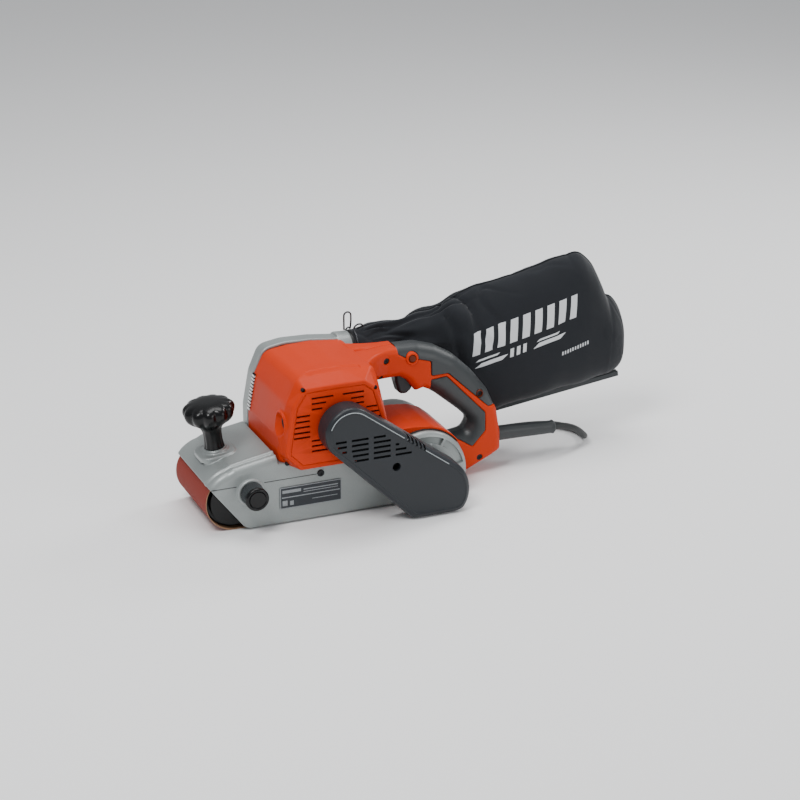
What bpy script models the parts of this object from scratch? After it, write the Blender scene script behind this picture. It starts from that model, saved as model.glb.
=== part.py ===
"""Handheld belt sander for a 100 x 610 mm belt, with its dust bag, cord and plug, as an assembly of separate pieces.

Frame: metres, +X towards the rear handle, +Z up, Y across. The near side (belt cover, tracking knob) is at -Y.
The origin is on the surface that the sanding belt stands on, midway between the two belt drums.
Blender 4.5: blender --background --python part.py
"""

import math

import bmesh
import bpy
from mathutils import Matrix, Vector

MM = 0.001
GAP = 0.3 * MM  # between two pieces that touch

# Sanding belt and its two drums
BELT_LENGTH = 610 * MM
BELT_WIDTH = 100 * MM
BELT_THICK = 1.0 * MM
DRUM_R = 30.0 * MM
BELT_IN_R = 30.5 * MM
BELT_OUT_R = BELT_IN_R + BELT_THICK
DRUM_PITCH = (BELT_LENGTH - 2 * math.pi * (BELT_IN_R + BELT_THICK / 2)) / 2
IDLER_X = -DRUM_PITCH / 2
DRUM_X = DRUM_PITCH / 2
AXIS_Z = BELT_OUT_R

# Frame casting
FRAME_NEAR = -58 * MM
WALL_IN = -52 * MM
FRAME_FAR = 54 * MM
SKIRT_BOTTOM = 2 * MM
TUNNEL_R = 34.2 * MM
FENDER_X, FENDER_Z, FENDER_R, FENDER_WALL = 108 * MM, 28 * MM, 50 * MM, 4 * MM
ROOF_Z = 69.2 * MM
DECK_REAR_X, DECK_REAR_Z = -58.6 * MM, 78.5 * MM
SADDLE_NEAR_Z = 64 * MM

# Motor, gear and belt drive: the axes run along Y
ROTOR = (-15 * MM, 109 * MM)
GEAR = (9 * MM, 109 * MM)
PINION_TEETH, GEAR_TEETH, MODULE = 10, 38, 1.0 * MM
DRIVE_R, DRIVEN_R = 10 * MM, 24 * MM
COVER_FACE = -102 * MM
COVER_WALL = 2.6 * MM
HOUSING_NEAR = -74 * MM
HOUSING_FAR = 37.7 * MM
FAN_HOUSING_FAR = 60 * MM

# Tension and tracking of the front roller
YOKE_PIVOT_X = -64 * MM
TENSION_TRAVEL = 5 * MM
KNOB_X, KNOB_Z = -89 * MM, 43 * MM
LEVER_X, LEVER_Y = -26 * MM, 43 * MM

# Front grip, perpendicular to the sloping deck
GRIP_BASE = Vector((-107.2, 0, 69.5)) * MM
GRIP_TILT = math.radians(-7)
GRIP_LOBES = 10

# Rear handle, dust bag, cord
HANDLE_HALF = 17 * MM
BAG_Y = 48 * MM
NOZZLE_Z = 144.5 * MM
NOZZLE_R = 17 * MM
CORD_R = 3.75 * MM
COIL_X, COIL_Y, COIL_R = 50 * MM, 150 * MM, 41 * MM
COIL_TURNS_WIDE, COIL_TURNS_HIGH = 3, 2

COLOURS = {  # red, green, blue, roughness, metallic
    "cast_aluminium": (0.62, 0.65, 0.66, 0.42, 0.9),
    "orange_plastic": (0.80, 0.10, 0.03, 0.42, 0.0),
    "grey_plastic": (0.045, 0.05, 0.055, 0.5, 0.0),
    "grip_rubber": (0.07, 0.08, 0.085, 0.7, 0.0),
    "black_plastic": (0.012, 0.012, 0.013, 0.35, 0.0),
    "bag_cloth": (0.018, 0.019, 0.024, 0.9, 0.0),
    "abrasive": (0.38, 0.04, 0.03, 0.9, 0.0),
    "belt_rubber": (0.02, 0.02, 0.02, 0.8, 0.0),
    "steel": (0.55, 0.55, 0.56, 0.3, 1.0),
    "copper": (0.72, 0.33, 0.18, 0.35, 1.0),
    "cork": (0.30, 0.20, 0.12, 0.9, 0.0),
    "carbon": (0.03, 0.03, 0.03, 0.6, 0.0),
    "label": (0.06, 0.07, 0.08, 0.4, 0.2),
}


# ---------------------------------------------------------------- tools


def clear_scene():
    for obj in list(bpy.data.objects):
        bpy.data.objects.remove(obj, do_unlink=True)


def collection(name):
    made = bpy.data.collections.new(name)
    bpy.context.scene.collection.children.link(made)
    return made


def material(name, finish):
    """The sub-part's own material, in one of the finishes."""
    red, green, blue, roughness, metallic = COLOURS[finish]
    made = bpy.data.materials.new(name)
    made.use_nodes = True
    shader = made.node_tree.nodes["Principled BSDF"]
    shader.inputs["Base Color"].default_value = (red, green, blue, 1)
    shader.inputs["Roughness"].default_value = roughness
    shader.inputs["Metallic"].default_value = metallic
    return made


def add_object(name, mesh, finish, smooth_angle=35):
    """Links a mesh as one sub-part, or as a cutter when finish is None."""
    obj = bpy.data.objects.new(name, mesh)
    if finish is None:
        CUTTERS.objects.link(obj)
        obj.hide_render = True
        obj.display_type = "WIRE"
        return obj
    PARTS.objects.link(obj)
    mesh.materials.append(material(name, finish))
    mesh.shade_smooth()
    mesh.set_sharp_from_angle(angle=math.radians(smooth_angle))
    return obj


def mm_points(*pairs):
    return [Vector((x * MM, z * MM)) for x, z in pairs]


def arc(x, z, radius, start, end, steps):
    """Points on a circle in the XZ plane, from start to end degrees, both included."""
    turns = [math.radians(start + (end - start) * i / steps) for i in range(steps + 1)]
    return [Vector((x + radius * math.cos(t), z + radius * math.sin(t))) for t in turns]


def rounded(corners, radii, steps=4):
    """A closed outline with each corner replaced by an arc of its radius."""
    made = []
    count = len(corners)
    for i, corner in enumerate(corners):
        back = (corners[i - 1] - corner).normalized()
        on = (corners[(i + 1) % count] - corner).normalized()
        half = math.acos(max(-1.0, min(1.0, back.dot(on)))) / 2
        bisector = (back + on).normalized()
        radius = radii[i]
        reach = radius / math.tan(half)
        centre = corner + bisector * (radius / math.sin(half))
        first = corner + back * reach - centre
        last = corner + on * reach - centre
        sweep = math.atan2(first.x * last.y - first.y * last.x, first.dot(last))
        for k in range(steps + 1):
            turn = sweep * k / steps
            c, s = math.cos(turn), math.sin(turn)
            made.append(centre + Vector((first.x * c - first.y * s, first.x * s + first.y * c)))
    return made


def signed_area(outline):
    pairs = zip(outline, outline[1:] + outline[:1])
    return sum(a.x * b.y - a.y * b.x for a, b in pairs) / 2


def inset(outline, distance):
    """The outline moved inwards by a distance, point by point along its normals."""
    turn = 1 if signed_area(outline) > 0 else -1
    count = len(outline)
    made = []
    for i, point in enumerate(outline):
        before = (point - outline[i - 1]).normalized()
        after = (outline[(i + 1) % count] - point).normalized()
        normal = Vector((-(before.y + after.y), before.x + after.x)) * turn
        normal.normalize()
        lean = max(0.4, (Vector((-before.y, before.x)) * turn).dot(normal))
        made.append(point + normal * (distance / lean))
    return made


def offset_rounded(corners, radii, distance, steps=2):
    """The rounded outline moved inwards: outer corners get tighter and inner ones wider."""
    turn = 1 if signed_area(corners) > 0 else -1
    count = len(corners)
    moved = []
    for i, radius in enumerate(radii):
        before = corners[i] - corners[i - 1]
        after = corners[(i + 1) % count] - corners[i]
        outer = (before.x * after.y - before.y * after.x) * turn > 0
        moved.append(max(0.3 * MM, radius - distance if outer else radius + distance))
    return rounded(inset(corners, distance), moved, steps)


def tangent_loop(x1, z1, r1, x2, z2, r2, steps=14):
    """The outline of a belt round two circles, anticlockwise."""
    along = math.atan2(z2 - z1, x2 - x1)
    lean = math.acos((r1 - r2) / math.hypot(x2 - x1, z2 - z1))
    a, b = math.degrees(along), math.degrees(lean)
    return arc(x1, z1, r1, a + b, a - b + 360, steps) + arc(x2, z2, r2, a - b, a + b, steps)


def circle(x, z, radius, steps=20):
    return arc(x, z, radius, 0, 360, steps)[:-1]


def toothed_outline(x, z, teeth, root, tip, root_share, tip_share, phase):
    """A gear or fan outline: each tooth is a trapezoid, its widths given as shares of the pitch."""
    made = []
    pitch = 2 * math.pi / teeth
    for k in range(teeth):
        middle = phase + k * pitch
        for share, radius in ((-root_share, root), (-tip_share, tip), (tip_share, tip), (root_share, root)):
            turn = middle + share * pitch / 2
            made.append(Vector((x + radius * math.cos(turn), z + radius * math.sin(turn))))
    return made


def plate(name, outlines, y_low, y_high, finish=None, origin=(0, 0)):
    """Outlines in the XZ plane, the first one solid and the others holes, extruded from y_low to y_high."""
    curve = bpy.data.curves.new(name, "CURVE")
    curve.dimensions = "2D"
    curve.fill_mode = "BOTH"
    curve.extrude = (y_high - y_low) / 2
    for outline in outlines:
        spline = curve.splines.new("POLY")
        spline.points.add(len(outline) - 1)
        for point, place in zip(spline.points, outline):
            point.co = (place.x - origin[0], place.y - origin[1], 0, 1)
        spline.use_cyclic_u = True
    guide = bpy.data.objects.new(name + "_curve", curve)
    PARTS.objects.link(guide)
    guide.rotation_euler = (math.pi / 2, 0, 0)
    guide.location = (origin[0], (y_low + y_high) / 2, origin[1])
    bpy.context.view_layer.update()
    seen = guide.evaluated_get(bpy.context.evaluated_depsgraph_get())
    mesh = bpy.data.meshes.new_from_object(seen)
    weld(mesh)
    obj = add_object(name, mesh, finish)
    obj.matrix_world = guide.matrix_world
    bpy.data.objects.remove(guide)
    bpy.data.curves.remove(curve)
    return obj


def weld(mesh, distance=1e-6):
    work = bmesh.new()
    work.from_mesh(mesh)
    bmesh.ops.remove_doubles(work, verts=work.verts, dist=distance)
    bmesh.ops.recalc_face_normals(work, faces=work.faces)
    work.to_mesh(mesh)
    work.free()


def box(name, low, high, finish=None):
    """A box between two corners, in millimetres."""
    low, high = Vector(low) * MM, Vector(high) * MM
    work = bmesh.new()
    bmesh.ops.create_cube(work, size=1)
    bmesh.ops.scale(work, vec=high - low, verts=work.verts)
    mesh = bpy.data.meshes.new(name)
    work.to_mesh(mesh)
    work.free()
    obj = add_object(name, mesh, finish)
    obj.location = (low + high) / 2
    return obj


def rod(name, start, end, radius, finish=None, end_radius=None, segments=20):
    """A cylinder or a cone between two points, its origin halfway."""
    start, end = Vector(start), Vector(end)
    work = bmesh.new()
    last = radius if end_radius is None else end_radius
    length = (end - start).length
    bmesh.ops.create_cone(work, cap_ends=True, segments=segments, radius1=radius, radius2=last, depth=length)
    mesh = bpy.data.meshes.new(name)
    work.to_mesh(mesh)
    work.free()
    obj = add_object(name, mesh, finish)
    obj.rotation_mode = "QUATERNION"
    obj.rotation_quaternion = (end - start).to_track_quat("Z", "Y")
    obj.location = (start + end) / 2
    return obj


def turned(name, profile, base, direction, finish=None, steps=24, ring=False):
    """Turns (radius, height) points, in millimetres, about an axis that starts at base."""
    points = [Vector((r * MM, h * MM)) for r, h in profile]
    if signed_area(points) > 0:
        points.reverse()
    mesh = bpy.data.meshes.new(name)
    count = len(points)
    edges = [(i, i + 1) for i in range(count - 1)]
    if ring:
        edges.append((count - 1, 0))
    mesh.from_pydata([(p.x, 0, p.y) for p in points], edges, [])
    obj = add_object(name, mesh, finish)
    screw = obj.modifiers.new("Turn", "SCREW")
    screw.steps = screw.render_steps = steps
    screw.use_merge_vertices = True
    screw.merge_threshold = 1e-5
    screw.use_smooth_shade = True
    obj.rotation_mode = "QUATERNION"
    obj.rotation_quaternion = Vector(direction).to_track_quat("Z", "Y")
    obj.location = base
    return obj


def ring_y(name, axis, inner, outer, y_low, y_high, finish, steps=16):
    """A bush or bearing on an axis along Y; radii in millimetres."""
    length = (y_high - y_low) / MM
    profile = [(inner, 0), (outer, 0), (outer, length), (inner, length)]
    return turned(name, profile, (axis[0], y_low, axis[1]), (0, 1, 0), finish, steps, ring=True)


def loft(name, sections, finish=None, closed=False):
    """A skin through sections of the same number of points, which no primitive or modifier makes.

    Closed joins the last section to the first, and otherwise both ends are capped."""
    work = bmesh.new()
    rings = [[work.verts.new(p) for p in section] for section in sections]
    count = len(rings[0])
    for a, b in zip(rings, rings[1:] + rings[:1] if closed else rings[1:]):
        for i in range(count):
            j = (i + 1) % count
            work.faces.new((a[i], a[j], b[j], b[i]))
    if not closed:
        work.faces.new(reversed(rings[0]))
        work.faces.new(rings[-1])
    bmesh.ops.recalc_face_normals(work, faces=work.faces)
    mesh = bpy.data.meshes.new(name)
    work.to_mesh(mesh)
    work.free()
    return add_object(name, mesh, finish)


def rounded_plate(name, outline_at, y_low, y_high, edge, finish=None, low=True, high=True, steps=2):
    """A plate with quarter-round edges; outline_at gives its outline moved inwards by a distance."""
    turns = [math.pi / 2 * k / steps for k in range(steps + 1)]
    rounds = [(edge * (1 - math.cos(t)), edge * (1 - math.sin(t))) for t in turns]
    sections = [place(y_low + rise, outline_at(shrink)) for rise, shrink in (rounds if low else [(0, 0)])]
    sections += [place(y_high - rise, outline_at(shrink)) for rise, shrink in reversed(rounds if high else [(0, 0)])]
    return loft(name, sections, finish)


def wire(name, points, radius, finish, sides=2):
    """A round wire or tube along points, with filled caps."""
    curve = bpy.data.curves.new(name, "CURVE")
    curve.dimensions = "3D"
    curve.bevel_depth = radius
    curve.bevel_resolution = sides
    curve.use_fill_caps = True
    spline = curve.splines.new("POLY")
    spline.points.add(len(points) - 1)
    for point, place in zip(spline.points, points):
        point.co = (*place, 1)
    obj = bpy.data.objects.new(name, curve)
    PARTS.objects.link(obj)
    curve.materials.append(material(name, finish))
    return obj


def smooth_path(points, per_span):
    """A Catmull-Rom curve through points."""
    ends = [points[0] * 2 - points[1], *points, points[-1] * 2 - points[-2]]
    made = []
    for a, b, c, d in zip(ends, ends[1:], ends[2:], ends[3:]):
        for k in range(per_span):
            t = k / per_span
            made.append(
                (b * 2 + (c - a) * t + (a * 2 - b * 5 + c * 4 - d) * t**2 + (b * 3 - a - c * 3 + d) * t**3) / 2
            )
    return made + [points[-1]]


def bevel(obj, width, segments=2, angle=40):
    made = obj.modifiers.new("Bevel", "BEVEL")
    made.width = width * MM
    made.segments = segments
    made.limit_method = "ANGLE"
    made.angle_limit = math.radians(angle)
    return obj


def combine(obj, other, operation="DIFFERENCE"):
    made = obj.modifiers.new(operation.title(), "BOOLEAN")
    made.operation = operation
    made.object = other
    made.solver = "EXACT"
    return obj


def cut(obj, *cutters):
    for cutter in cutters:
        combine(obj, cutter)
    return obj


def join(obj, *others):
    for other in others:
        combine(obj, other, "UNION")
    return obj


def place(y, outline):
    return [Vector((p.x, y, p.y)) for p in outline]


def at(axis, y):
    return (axis[0], y, axis[1])


# ---------------------------------------------------------------- frame casting


def frame_outline():
    """The casting's side view: nose over the front roller, sloping deck, saddle for the motor, rear fender, skirt."""
    nose_r = 36.8 * MM
    nose = arc(IDLER_X, AXIS_Z, nose_r, 145, 103, 6)
    deck = mm_points((-106, 70.3), (-84, 74.3)) + [
        Vector((DECK_REAR_X, DECK_REAR_Z)),
        Vector((DECK_REAR_X, ROOF_Z)),
        Vector((80 * MM, ROOF_Z)),
    ]
    fender = arc(FENDER_X, FENDER_Z, FENDER_R, 123, -8, 14)
    skirt = mm_points((154, 12), (140, SKIRT_BOTTOM / MM), (-91, SKIRT_BOTTOM / MM), (-97, 5.5), (-129, 47))
    return nose + deck + fender + skirt


def main_frame():
    drum = (DRUM_X, AXIS_Z)
    frame = plate("main_frame", [frame_outline()], FRAME_NEAR, FRAME_FAR, "cast_aluminium")
    tunnel = tangent_loop(IDLER_X, AXIS_Z, TUNNEL_R, DRUM_X, AXIS_Z, TUNNEL_R, 16)
    cut(
        frame,
        plate("cut_tunnel", [tunnel], WALL_IN, 70 * MM),
        plate("cut_dust_channel", [circle(FENDER_X, FENDER_Z, FENDER_R - FENDER_WALL, 28)], WALL_IN, 70 * MM),
        box("cut_rear_foot", (136, WALL_IN / MM, -5), (170, 70, 12)),
        box("cut_saddle", (DECK_REAR_X / MM - 0.2, -70, SADDLE_NEAR_Z / MM), (80, WALL_IN / MM - 0.5, 90)),
    )
    shoulder = loft(
        "cut_shoulder",
        [[Vector((x * MM, y * MM, z * MM)) for y, z in ((-58.6, 51.5), (-49.5, 84), (-62, 84))] for x in (-150, -50)],
    )
    cut(frame, shoulder)
    core = box("frame_core", (-49, WALL_IN / MM - 2, 7), (66, 46, 56))
    cut(
        core,
        box("cut_carriage_way", (-57, -13, 23.5), (-14, 13, 39.5)),
        box("cut_lever_pocket", (-36, 35, 22.5), (-16, 48, 40.5)),
    )
    boss_r = 21 * MM
    boss = rod("frame_drum_boss", at(drum, -77 * MM), at(drum, WALL_IN - MM), boss_r)
    knob_boss = rod("frame_knob_boss", at((KNOB_X, KNOB_Z), -61 * MM), at((KNOB_X, KNOB_Z), -55 * MM), 14.5 * MM)
    up = Matrix.Rotation(GRIP_TILT, 3, "Y") @ Vector((0, 0, 1))
    low_boss = rod("frame_grip_boss", GRIP_BASE - up * 3 * MM, GRIP_BASE + up * 2 * MM, 24 * MM, end_radius=21 * MM)
    high_boss = rod("frame_grip_ring", GRIP_BASE, GRIP_BASE + up * 5 * MM, 14 * MM, end_radius=12.5 * MM)
    join(frame, core, boss, knob_boss, low_boss, high_boss)
    cut(
        frame,
        rod("cut_drum_bearings", at(drum, -80 * MM), at(drum, -50 * MM), 16.3 * MM),
        rod("cut_tracking_hole", at((KNOB_X, KNOB_Z), -70 * MM), at((KNOB_X, KNOB_Z), -50 * MM), 4.4 * MM),
        rod("cut_grip_hole", GRIP_BASE - up * 9 * MM, GRIP_BASE + up * 9 * MM, 4.3 * MM, segments=16),
        rod("cut_lever_stubs", (LEVER_X, LEVER_Y, 19 * MM), (LEVER_X, LEVER_Y, 44 * MM), 2.8 * MM, segments=12),
    )
    return frame


def platen_and_pad():
    plate_low, plate_high = 1.4, 2.6
    bevel(box("platen", (-74, -47, plate_low), (72, 47, plate_high), "steel"), 0.4, 1)
    box("cork_pad", (-49, -46, plate_high + 0.3), (66, 46, 6.7), "cork")


def nameplate():
    corners = mm_points((-57.4, 17.8), (11.3, 17.8), (11.3, 42), (-57.4, 42))
    return plate("nameplate", [rounded(corners, [1 * MM] * 4, 2)], -59.1 * MM, FRAME_NEAR - GAP, "label")


# ---------------------------------------------------------------- belt, front roller, tension and tracking


def sanding_belt():
    loops = [tangent_loop(IDLER_X, AXIS_Z, r, DRUM_X, AXIS_Z, r, 24) for r in (BELT_OUT_R, BELT_IN_R)]
    return plate("sanding_belt", loops, -BELT_WIDTH / 2, BELT_WIDTH / 2, "abrasive")


def idler():
    axis = (IDLER_X, AXIS_Z)
    half = 44.5 * MM
    rim = DRUM_R / MM
    profile = [(6.3, 0), (22, 0), (24, 1.5), (rim, 1.5), (rim, 87.5), (24, 87.5), (22, 89), (6.3, 89)]
    turned("idler_roller", profile, at(axis, -half), (0, 1, 0), "black_plastic", 28, ring=True)
    rod("idler_axle", at(axis, -50.3 * MM), at(axis, 50.3 * MM), 6 * MM, "steel")


def roller_yoke():
    """A fork whose two round cheeks hold the idler's axle; it swings on the carriage's pin."""
    axis = (IDLER_X, AXIS_Z)
    cheek = tangent_loop(IDLER_X, AXIS_Z, 26 * MM, -64 * MM, AXIS_Z, 9 * MM, 8)
    yoke = plate("roller_yoke", [cheek], -49.5 * MM, -45.3 * MM, "black_plastic", axis)
    far_cheek = plate("yoke_far_cheek", [cheek], 45.3 * MM, 49.5 * MM)
    bar = box("yoke_bar", (-68.5, -47, 24), (-59.5, 47, 39))
    join(yoke, far_cheek, bar)
    cut(
        yoke,
        rod("cut_yoke_axle", at(axis, -60 * MM), at(axis, 60 * MM), 6.3 * MM),
        rod("cut_yoke_pin", (YOKE_PIVOT_X, 0, 10 * MM), (YOKE_PIVOT_X, 0, 50 * MM), 3.3 * MM, segments=16),
        box("cut_yoke_slot", (-70, -13, 27.8), (-58, 13, 35.2)),
    )
    return yoke


def tension_carriage():
    """A tongue with the yoke's pin through it, on a bar that slides in the frame."""
    carriage = box("tension_carriage", (-68, -8, 28.5), (-38, 8, 34.5), "steel")
    pin = rod("carriage_pin", (YOKE_PIVOT_X, 0, 23 * MM), (YOKE_PIVOT_X, 0, 40 * MM), 3 * MM, segments=16)
    block = box("carriage_block", (-52, -12, 24.2), (-38, 12, 38.8))
    return join(carriage, pin, block)


def tension_spring():
    turns, per_turn, wire_r = 5, 8, 0.9 * MM
    start, length, radius = -36.6 * MM, 20.5 * MM, 5.5 * MM
    points = []
    for i in range(turns * per_turn + 1):
        turn = 2 * math.pi * i / per_turn
        x = start + length * i / (turns * per_turn)
        points.append(Vector((x, radius * math.cos(turn), AXIS_Z + radius * math.sin(turn))))
    return wire("tension_spring", points, wire_r, "steel", 1)


def tension_lever():
    """Lies along the open side and swings outwards on two stubs to let the belt go slack."""
    x, y = LEVER_X / MM, LEVER_Y / MM
    lever = rod("tension_lever", (LEVER_X, LEVER_Y, 24 * MM), (LEVER_X, LEVER_Y, 39 * MM), 4.2 * MM, "steel", segments=16)
    arm = box("lever_arm", (x - 2, y + 3, 26), (x + 46, y + 6, 37))
    tab = box("lever_tab", (x + 40, y + 4, 28), (x + 46, y + 10, 35))
    stubs = rod("lever_stubs", (LEVER_X, LEVER_Y, 20 * MM), (LEVER_X, LEVER_Y, 43 * MM), 2.5 * MM, segments=12)
    return join(lever, arm, tab, stubs)


def tracking_knob():
    axis = (KNOB_X, KNOB_Z)
    grip = toothed_outline(*axis, 14, 11.6 * MM, 12.5 * MM, 0.8, 0.4, 0)
    knob = plate("tracking_knob", [grip], -80 * MM, -63 * MM, "black_plastic", axis)
    cap = rod("tracking_cap", at(axis, -81.5 * MM), at(axis, -79 * MM), 9.5 * MM, end_radius=10.5 * MM)
    join(knob, cap)
    cut(knob, rod("cut_knob_screw", at(axis, -74 * MM), at(axis, -60 * MM), 4.3 * MM, segments=16))
    rod("tracking_screw", at(axis, -73.6 * MM), at(axis, -50.2 * MM), 4 * MM, "steel", segments=16)


def front_knob():
    """A round head with finger lobes on a slightly waisted stem."""
    rings = [  # radius, height above the boss, depth of the lobes
        (9.8, 0, 0), (11.2, 23, 0), (14, 29, 0.2), (21, 33, 0.9),
        (25.4, 37, 1.5), (26.6, 42, 1.5), (25.6, 46.5, 1.5), (21.5, 50, 1.0), (12, 52.6, 0),
    ]  # fmt: skip
    steps = GRIP_LOBES * 4
    sections = []
    for radius, height, lobe in rings:
        turns = [2 * math.pi * i / steps for i in range(steps)]
        reach = [(radius + lobe * math.cos(GRIP_LOBES * t)) * MM for t in turns]
        sections.append([Vector((r * math.cos(t), r * math.sin(t), height * MM)) for r, t in zip(reach, turns)])
    knob = loft("front_knob", sections, "black_plastic")
    tilt = Matrix.Rotation(GRIP_TILT, 4, "Y")
    knob.matrix_world = Matrix.Translation(GRIP_BASE + tilt @ Vector((0, 0, 5.3 * MM))) @ tilt
    up = tilt @ Vector((0, 0, 1))
    cut(knob, rod("cut_knob_stud", GRIP_BASE, GRIP_BASE + up * 35 * MM, 4.3 * MM, segments=16))
    stud = rod("front_knob_bolt", GRIP_BASE - up * 2 * MM, GRIP_BASE + up * 34 * MM, 4 * MM, "steel", segments=16)
    return knob, stud


# ---------------------------------------------------------------- drum and belt drive


def drive_drum():
    axis = (DRUM_X, AXIS_Z)
    rim = DRUM_R / MM
    profile = [(8.3, 0), (rim, 0), (rim, 94), (8.3, 94)]
    turned("drive_drum", profile, at(axis, -47 * MM), (0, 1, 0), "belt_rubber", 28, ring=True)
    profile = [(0, 0), (5, 0), (5, 4.5), (6, 4.5), (6, 20), (7.5, 20), (7.5, 48), (8, 48), (8, 143), (0, 143)]
    turned("drum_shaft", profile, at(axis, -98 * MM), (0, 1, 0), "steel", 16)
    ring_y("drum_bearing_outer", axis, 7.8, 16, -76 * MM, -66 * MM, "steel")
    ring_y("drum_bearing_inner", axis, 7.8, 16, -63 * MM, -53 * MM, "steel")


def pulley(name, axis, radius, bore):
    rim = radius / MM
    profile = [(bore, 0), (rim + 1.6, 0), (rim + 1.6, 1), (rim, 1.4), (rim, 13.6), (rim + 1.6, 14), (rim + 1.6, 15)]
    profile += [(bore, 15)]
    turned(name, profile, at(axis, -94 * MM), (0, 1, 0), "steel", 20, ring=True)


def belt_drive():
    pulley("drive_pulley", GEAR, DRIVE_R, 5.3)
    pulley("driven_pulley", (DRUM_X, AXIS_Z), DRIVEN_R, 6.3)
    loops = [
        tangent_loop(*GEAR, DRIVE_R + extra, DRUM_X, AXIS_Z, DRIVEN_R + extra, 16) for extra in (2.3 * MM, 0.4 * MM)
    ]
    plate("drive_belt", loops, -92.2 * MM, -80.8 * MM, "belt_rubber")


def cover_outline():
    """Wraps both pulleys and is flat at the bottom, just above the surface."""
    floor_z = 0.6 * MM
    loop = tangent_loop(7 * MM, 107.8 * MM, 28.2 * MM, 101.9 * MM, 25 * MM, 38.9 * MM, 14)
    return [Vector((p.x, max(p.y, floor_z))) for p in loop]


def vent_slots(name, rows, y_low, y_high, height=2.2 * MM):
    """One cutter from many slots, each (x start, x end, z) in millimetres."""
    mesh = bpy.data.meshes.new(name)
    work = bmesh.new()
    for x_low, x_high, z in rows:
        made = bmesh.ops.create_cube(work, size=1)["verts"]
        size = Vector(((x_high - x_low) * MM, y_high - y_low, height))
        bmesh.ops.scale(work, vec=size, verts=made)
        middle = Vector(((x_low + x_high) / 2 * MM, (y_low + y_high) / 2, z * MM))
        bmesh.ops.translate(work, vec=middle, verts=made)
    work.to_mesh(mesh)
    work.free()
    return add_object(name, mesh, None)


COVER_VENTS = [
    (-11, 1, 101), (6.5, 25, 101), (30.7, 44, 101),
    (-9, 1, 95.3), (6.5, 25, 95.3), (30.7, 49.5, 95.3),
    (-4, 1, 89.5), (6.5, 25, 89.5), (30.7, 49.5, 89.5), (55, 59, 89.5),
    (7.5, 25, 83.8), (30.7, 49.5, 83.8), (55, 67, 83.8),
    (9.5, 25, 78), (30.7, 49.5, 78), (55, 73, 78),
]  # fmt: skip

HOUSING_VENTS = [
    (-26, -2, 142), (-26, -10, 136), (-26, -14, 130), (-42.5, -28, 124), (-43.5, -28, 118),
    (-44.5, -28, 112), (-45.5, -28, 106), (-46, -28, 100.5), (-26.5, -15, 95.3), (-26.5, -12, 89.5),
    (-26.5, -6, 83.8), (8, 31.5, 142), (17, 31.5, 136), (21, 31.5, 130), (34, 46, 124), (34, 48, 118),
    (34, 50, 112),
]  # fmt: skip


def belt_cover():
    outline = cover_outline()
    wall = COVER_WALL
    sections = [
        place(COVER_FACE + wall, inset(outline, 3.2 * MM + wall)),
        place(COVER_FACE + wall + 1.4 * MM, inset(outline, 1.4 * MM + wall)),
        place(-77.6 * MM, inset(outline, wall)),
        place(-77.6 * MM, outline),
        place(-93 * MM, inset(outline, 0.3 * MM)),
        place(COVER_FACE + 1.4 * MM, inset(outline, 1.4 * MM)),
        place(COVER_FACE, inset(outline, 3.2 * MM)),
    ]
    cover = loft("belt_cover", sections, "grey_plastic")
    screw_x, screw_z = 56.2 * MM, 64.2 * MM
    post = rod("cover_post", (screw_x, -78 * MM, screw_z), (screw_x, COVER_FACE + MM, screw_z), 6 * MM)
    join(cover, post)
    cut(
        cover,
        vent_slots("cut_cover_vents", COVER_VENTS, COVER_FACE - 3 * MM, COVER_FACE + 5 * MM),
        rod("cut_cover_head", (screw_x, -110 * MM, screw_z), (screw_x, -90 * MM, screw_z), 4.4 * MM),
        rod("cut_cover_shank", (screw_x, -95 * MM, screw_z), (screw_x, -70 * MM, screw_z), 2.4 * MM, segments=12),
    )
    head = [(0, 0), (3.8, 0), (3.8, 2.6), (2, 3), (2, 12), (0, 12)]
    turned("cover_screw", head, (screw_x, -93 * MM, screw_z), (0, 1, 0), "steel", 16)


# ---------------------------------------------------------------- motor


def housing_section(kind, y, shrink=0.0):
    """Ten rounded corners of the motor and fan housings, seen from the side, at one place across the tool."""
    corners, radii = {
        "far": ([(-57, 69.5), (-57, 96), (-50, 134), (-38, 158.5), (-12, 162), (14, 162.6), (52.5, 158.6), (57.5, 130),
                 (60.5, 96), (58, 69.5)], [1, 20, 25, 15, 40, 40, 8, 20, 15, 1]),
        "main": ([(-56, 69.5), (-56, 96), (-49, 134), (-37, 160.5), (-12, 163.3), (14, 163.8), (50.5, 160.5), (56.5, 130),
                  (59.5, 96), (57, 69.5)], [1, 20, 25, 14, 40, 40, 8, 20, 15, 1]),
        "step": ([(-46, 65.2), (-57, 80), (-49, 134), (-37.5, 158.8), (-12, 161.3), (14, 161.6), (43.5, 159), (53, 146),
                  (60, 98), (55, 65.2)], [4, 12, 18, 8, 40, 40, 5, 8, 15, 4]),
        "near": ([(-38.5, 65), (-55, 82), (-46, 136), (-34, 153.5), (-12, 154.2), (12, 154.4), (33, 154), (45.5, 144.5),
                  (59, 100), (50, 65)], [4, 8, 12, 5, 40, 40, 5, 5, 15, 5]),
        "fan": ([(-57, 69.5), (-57, 96), (-50, 134), (-38.5, 160.3), (-14, 164.2), (16, 163.4), (52.5, 159.2), (57.5, 130),
                 (60.5, 96), (58, 69.5)], [1, 20, 25, 15, 40, 40, 8, 20, 15, 1]),
    }[kind]  # fmt: skip
    return place(y, offset_rounded(mm_points(*corners), [r * MM for r in radii], shrink, 3))


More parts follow.
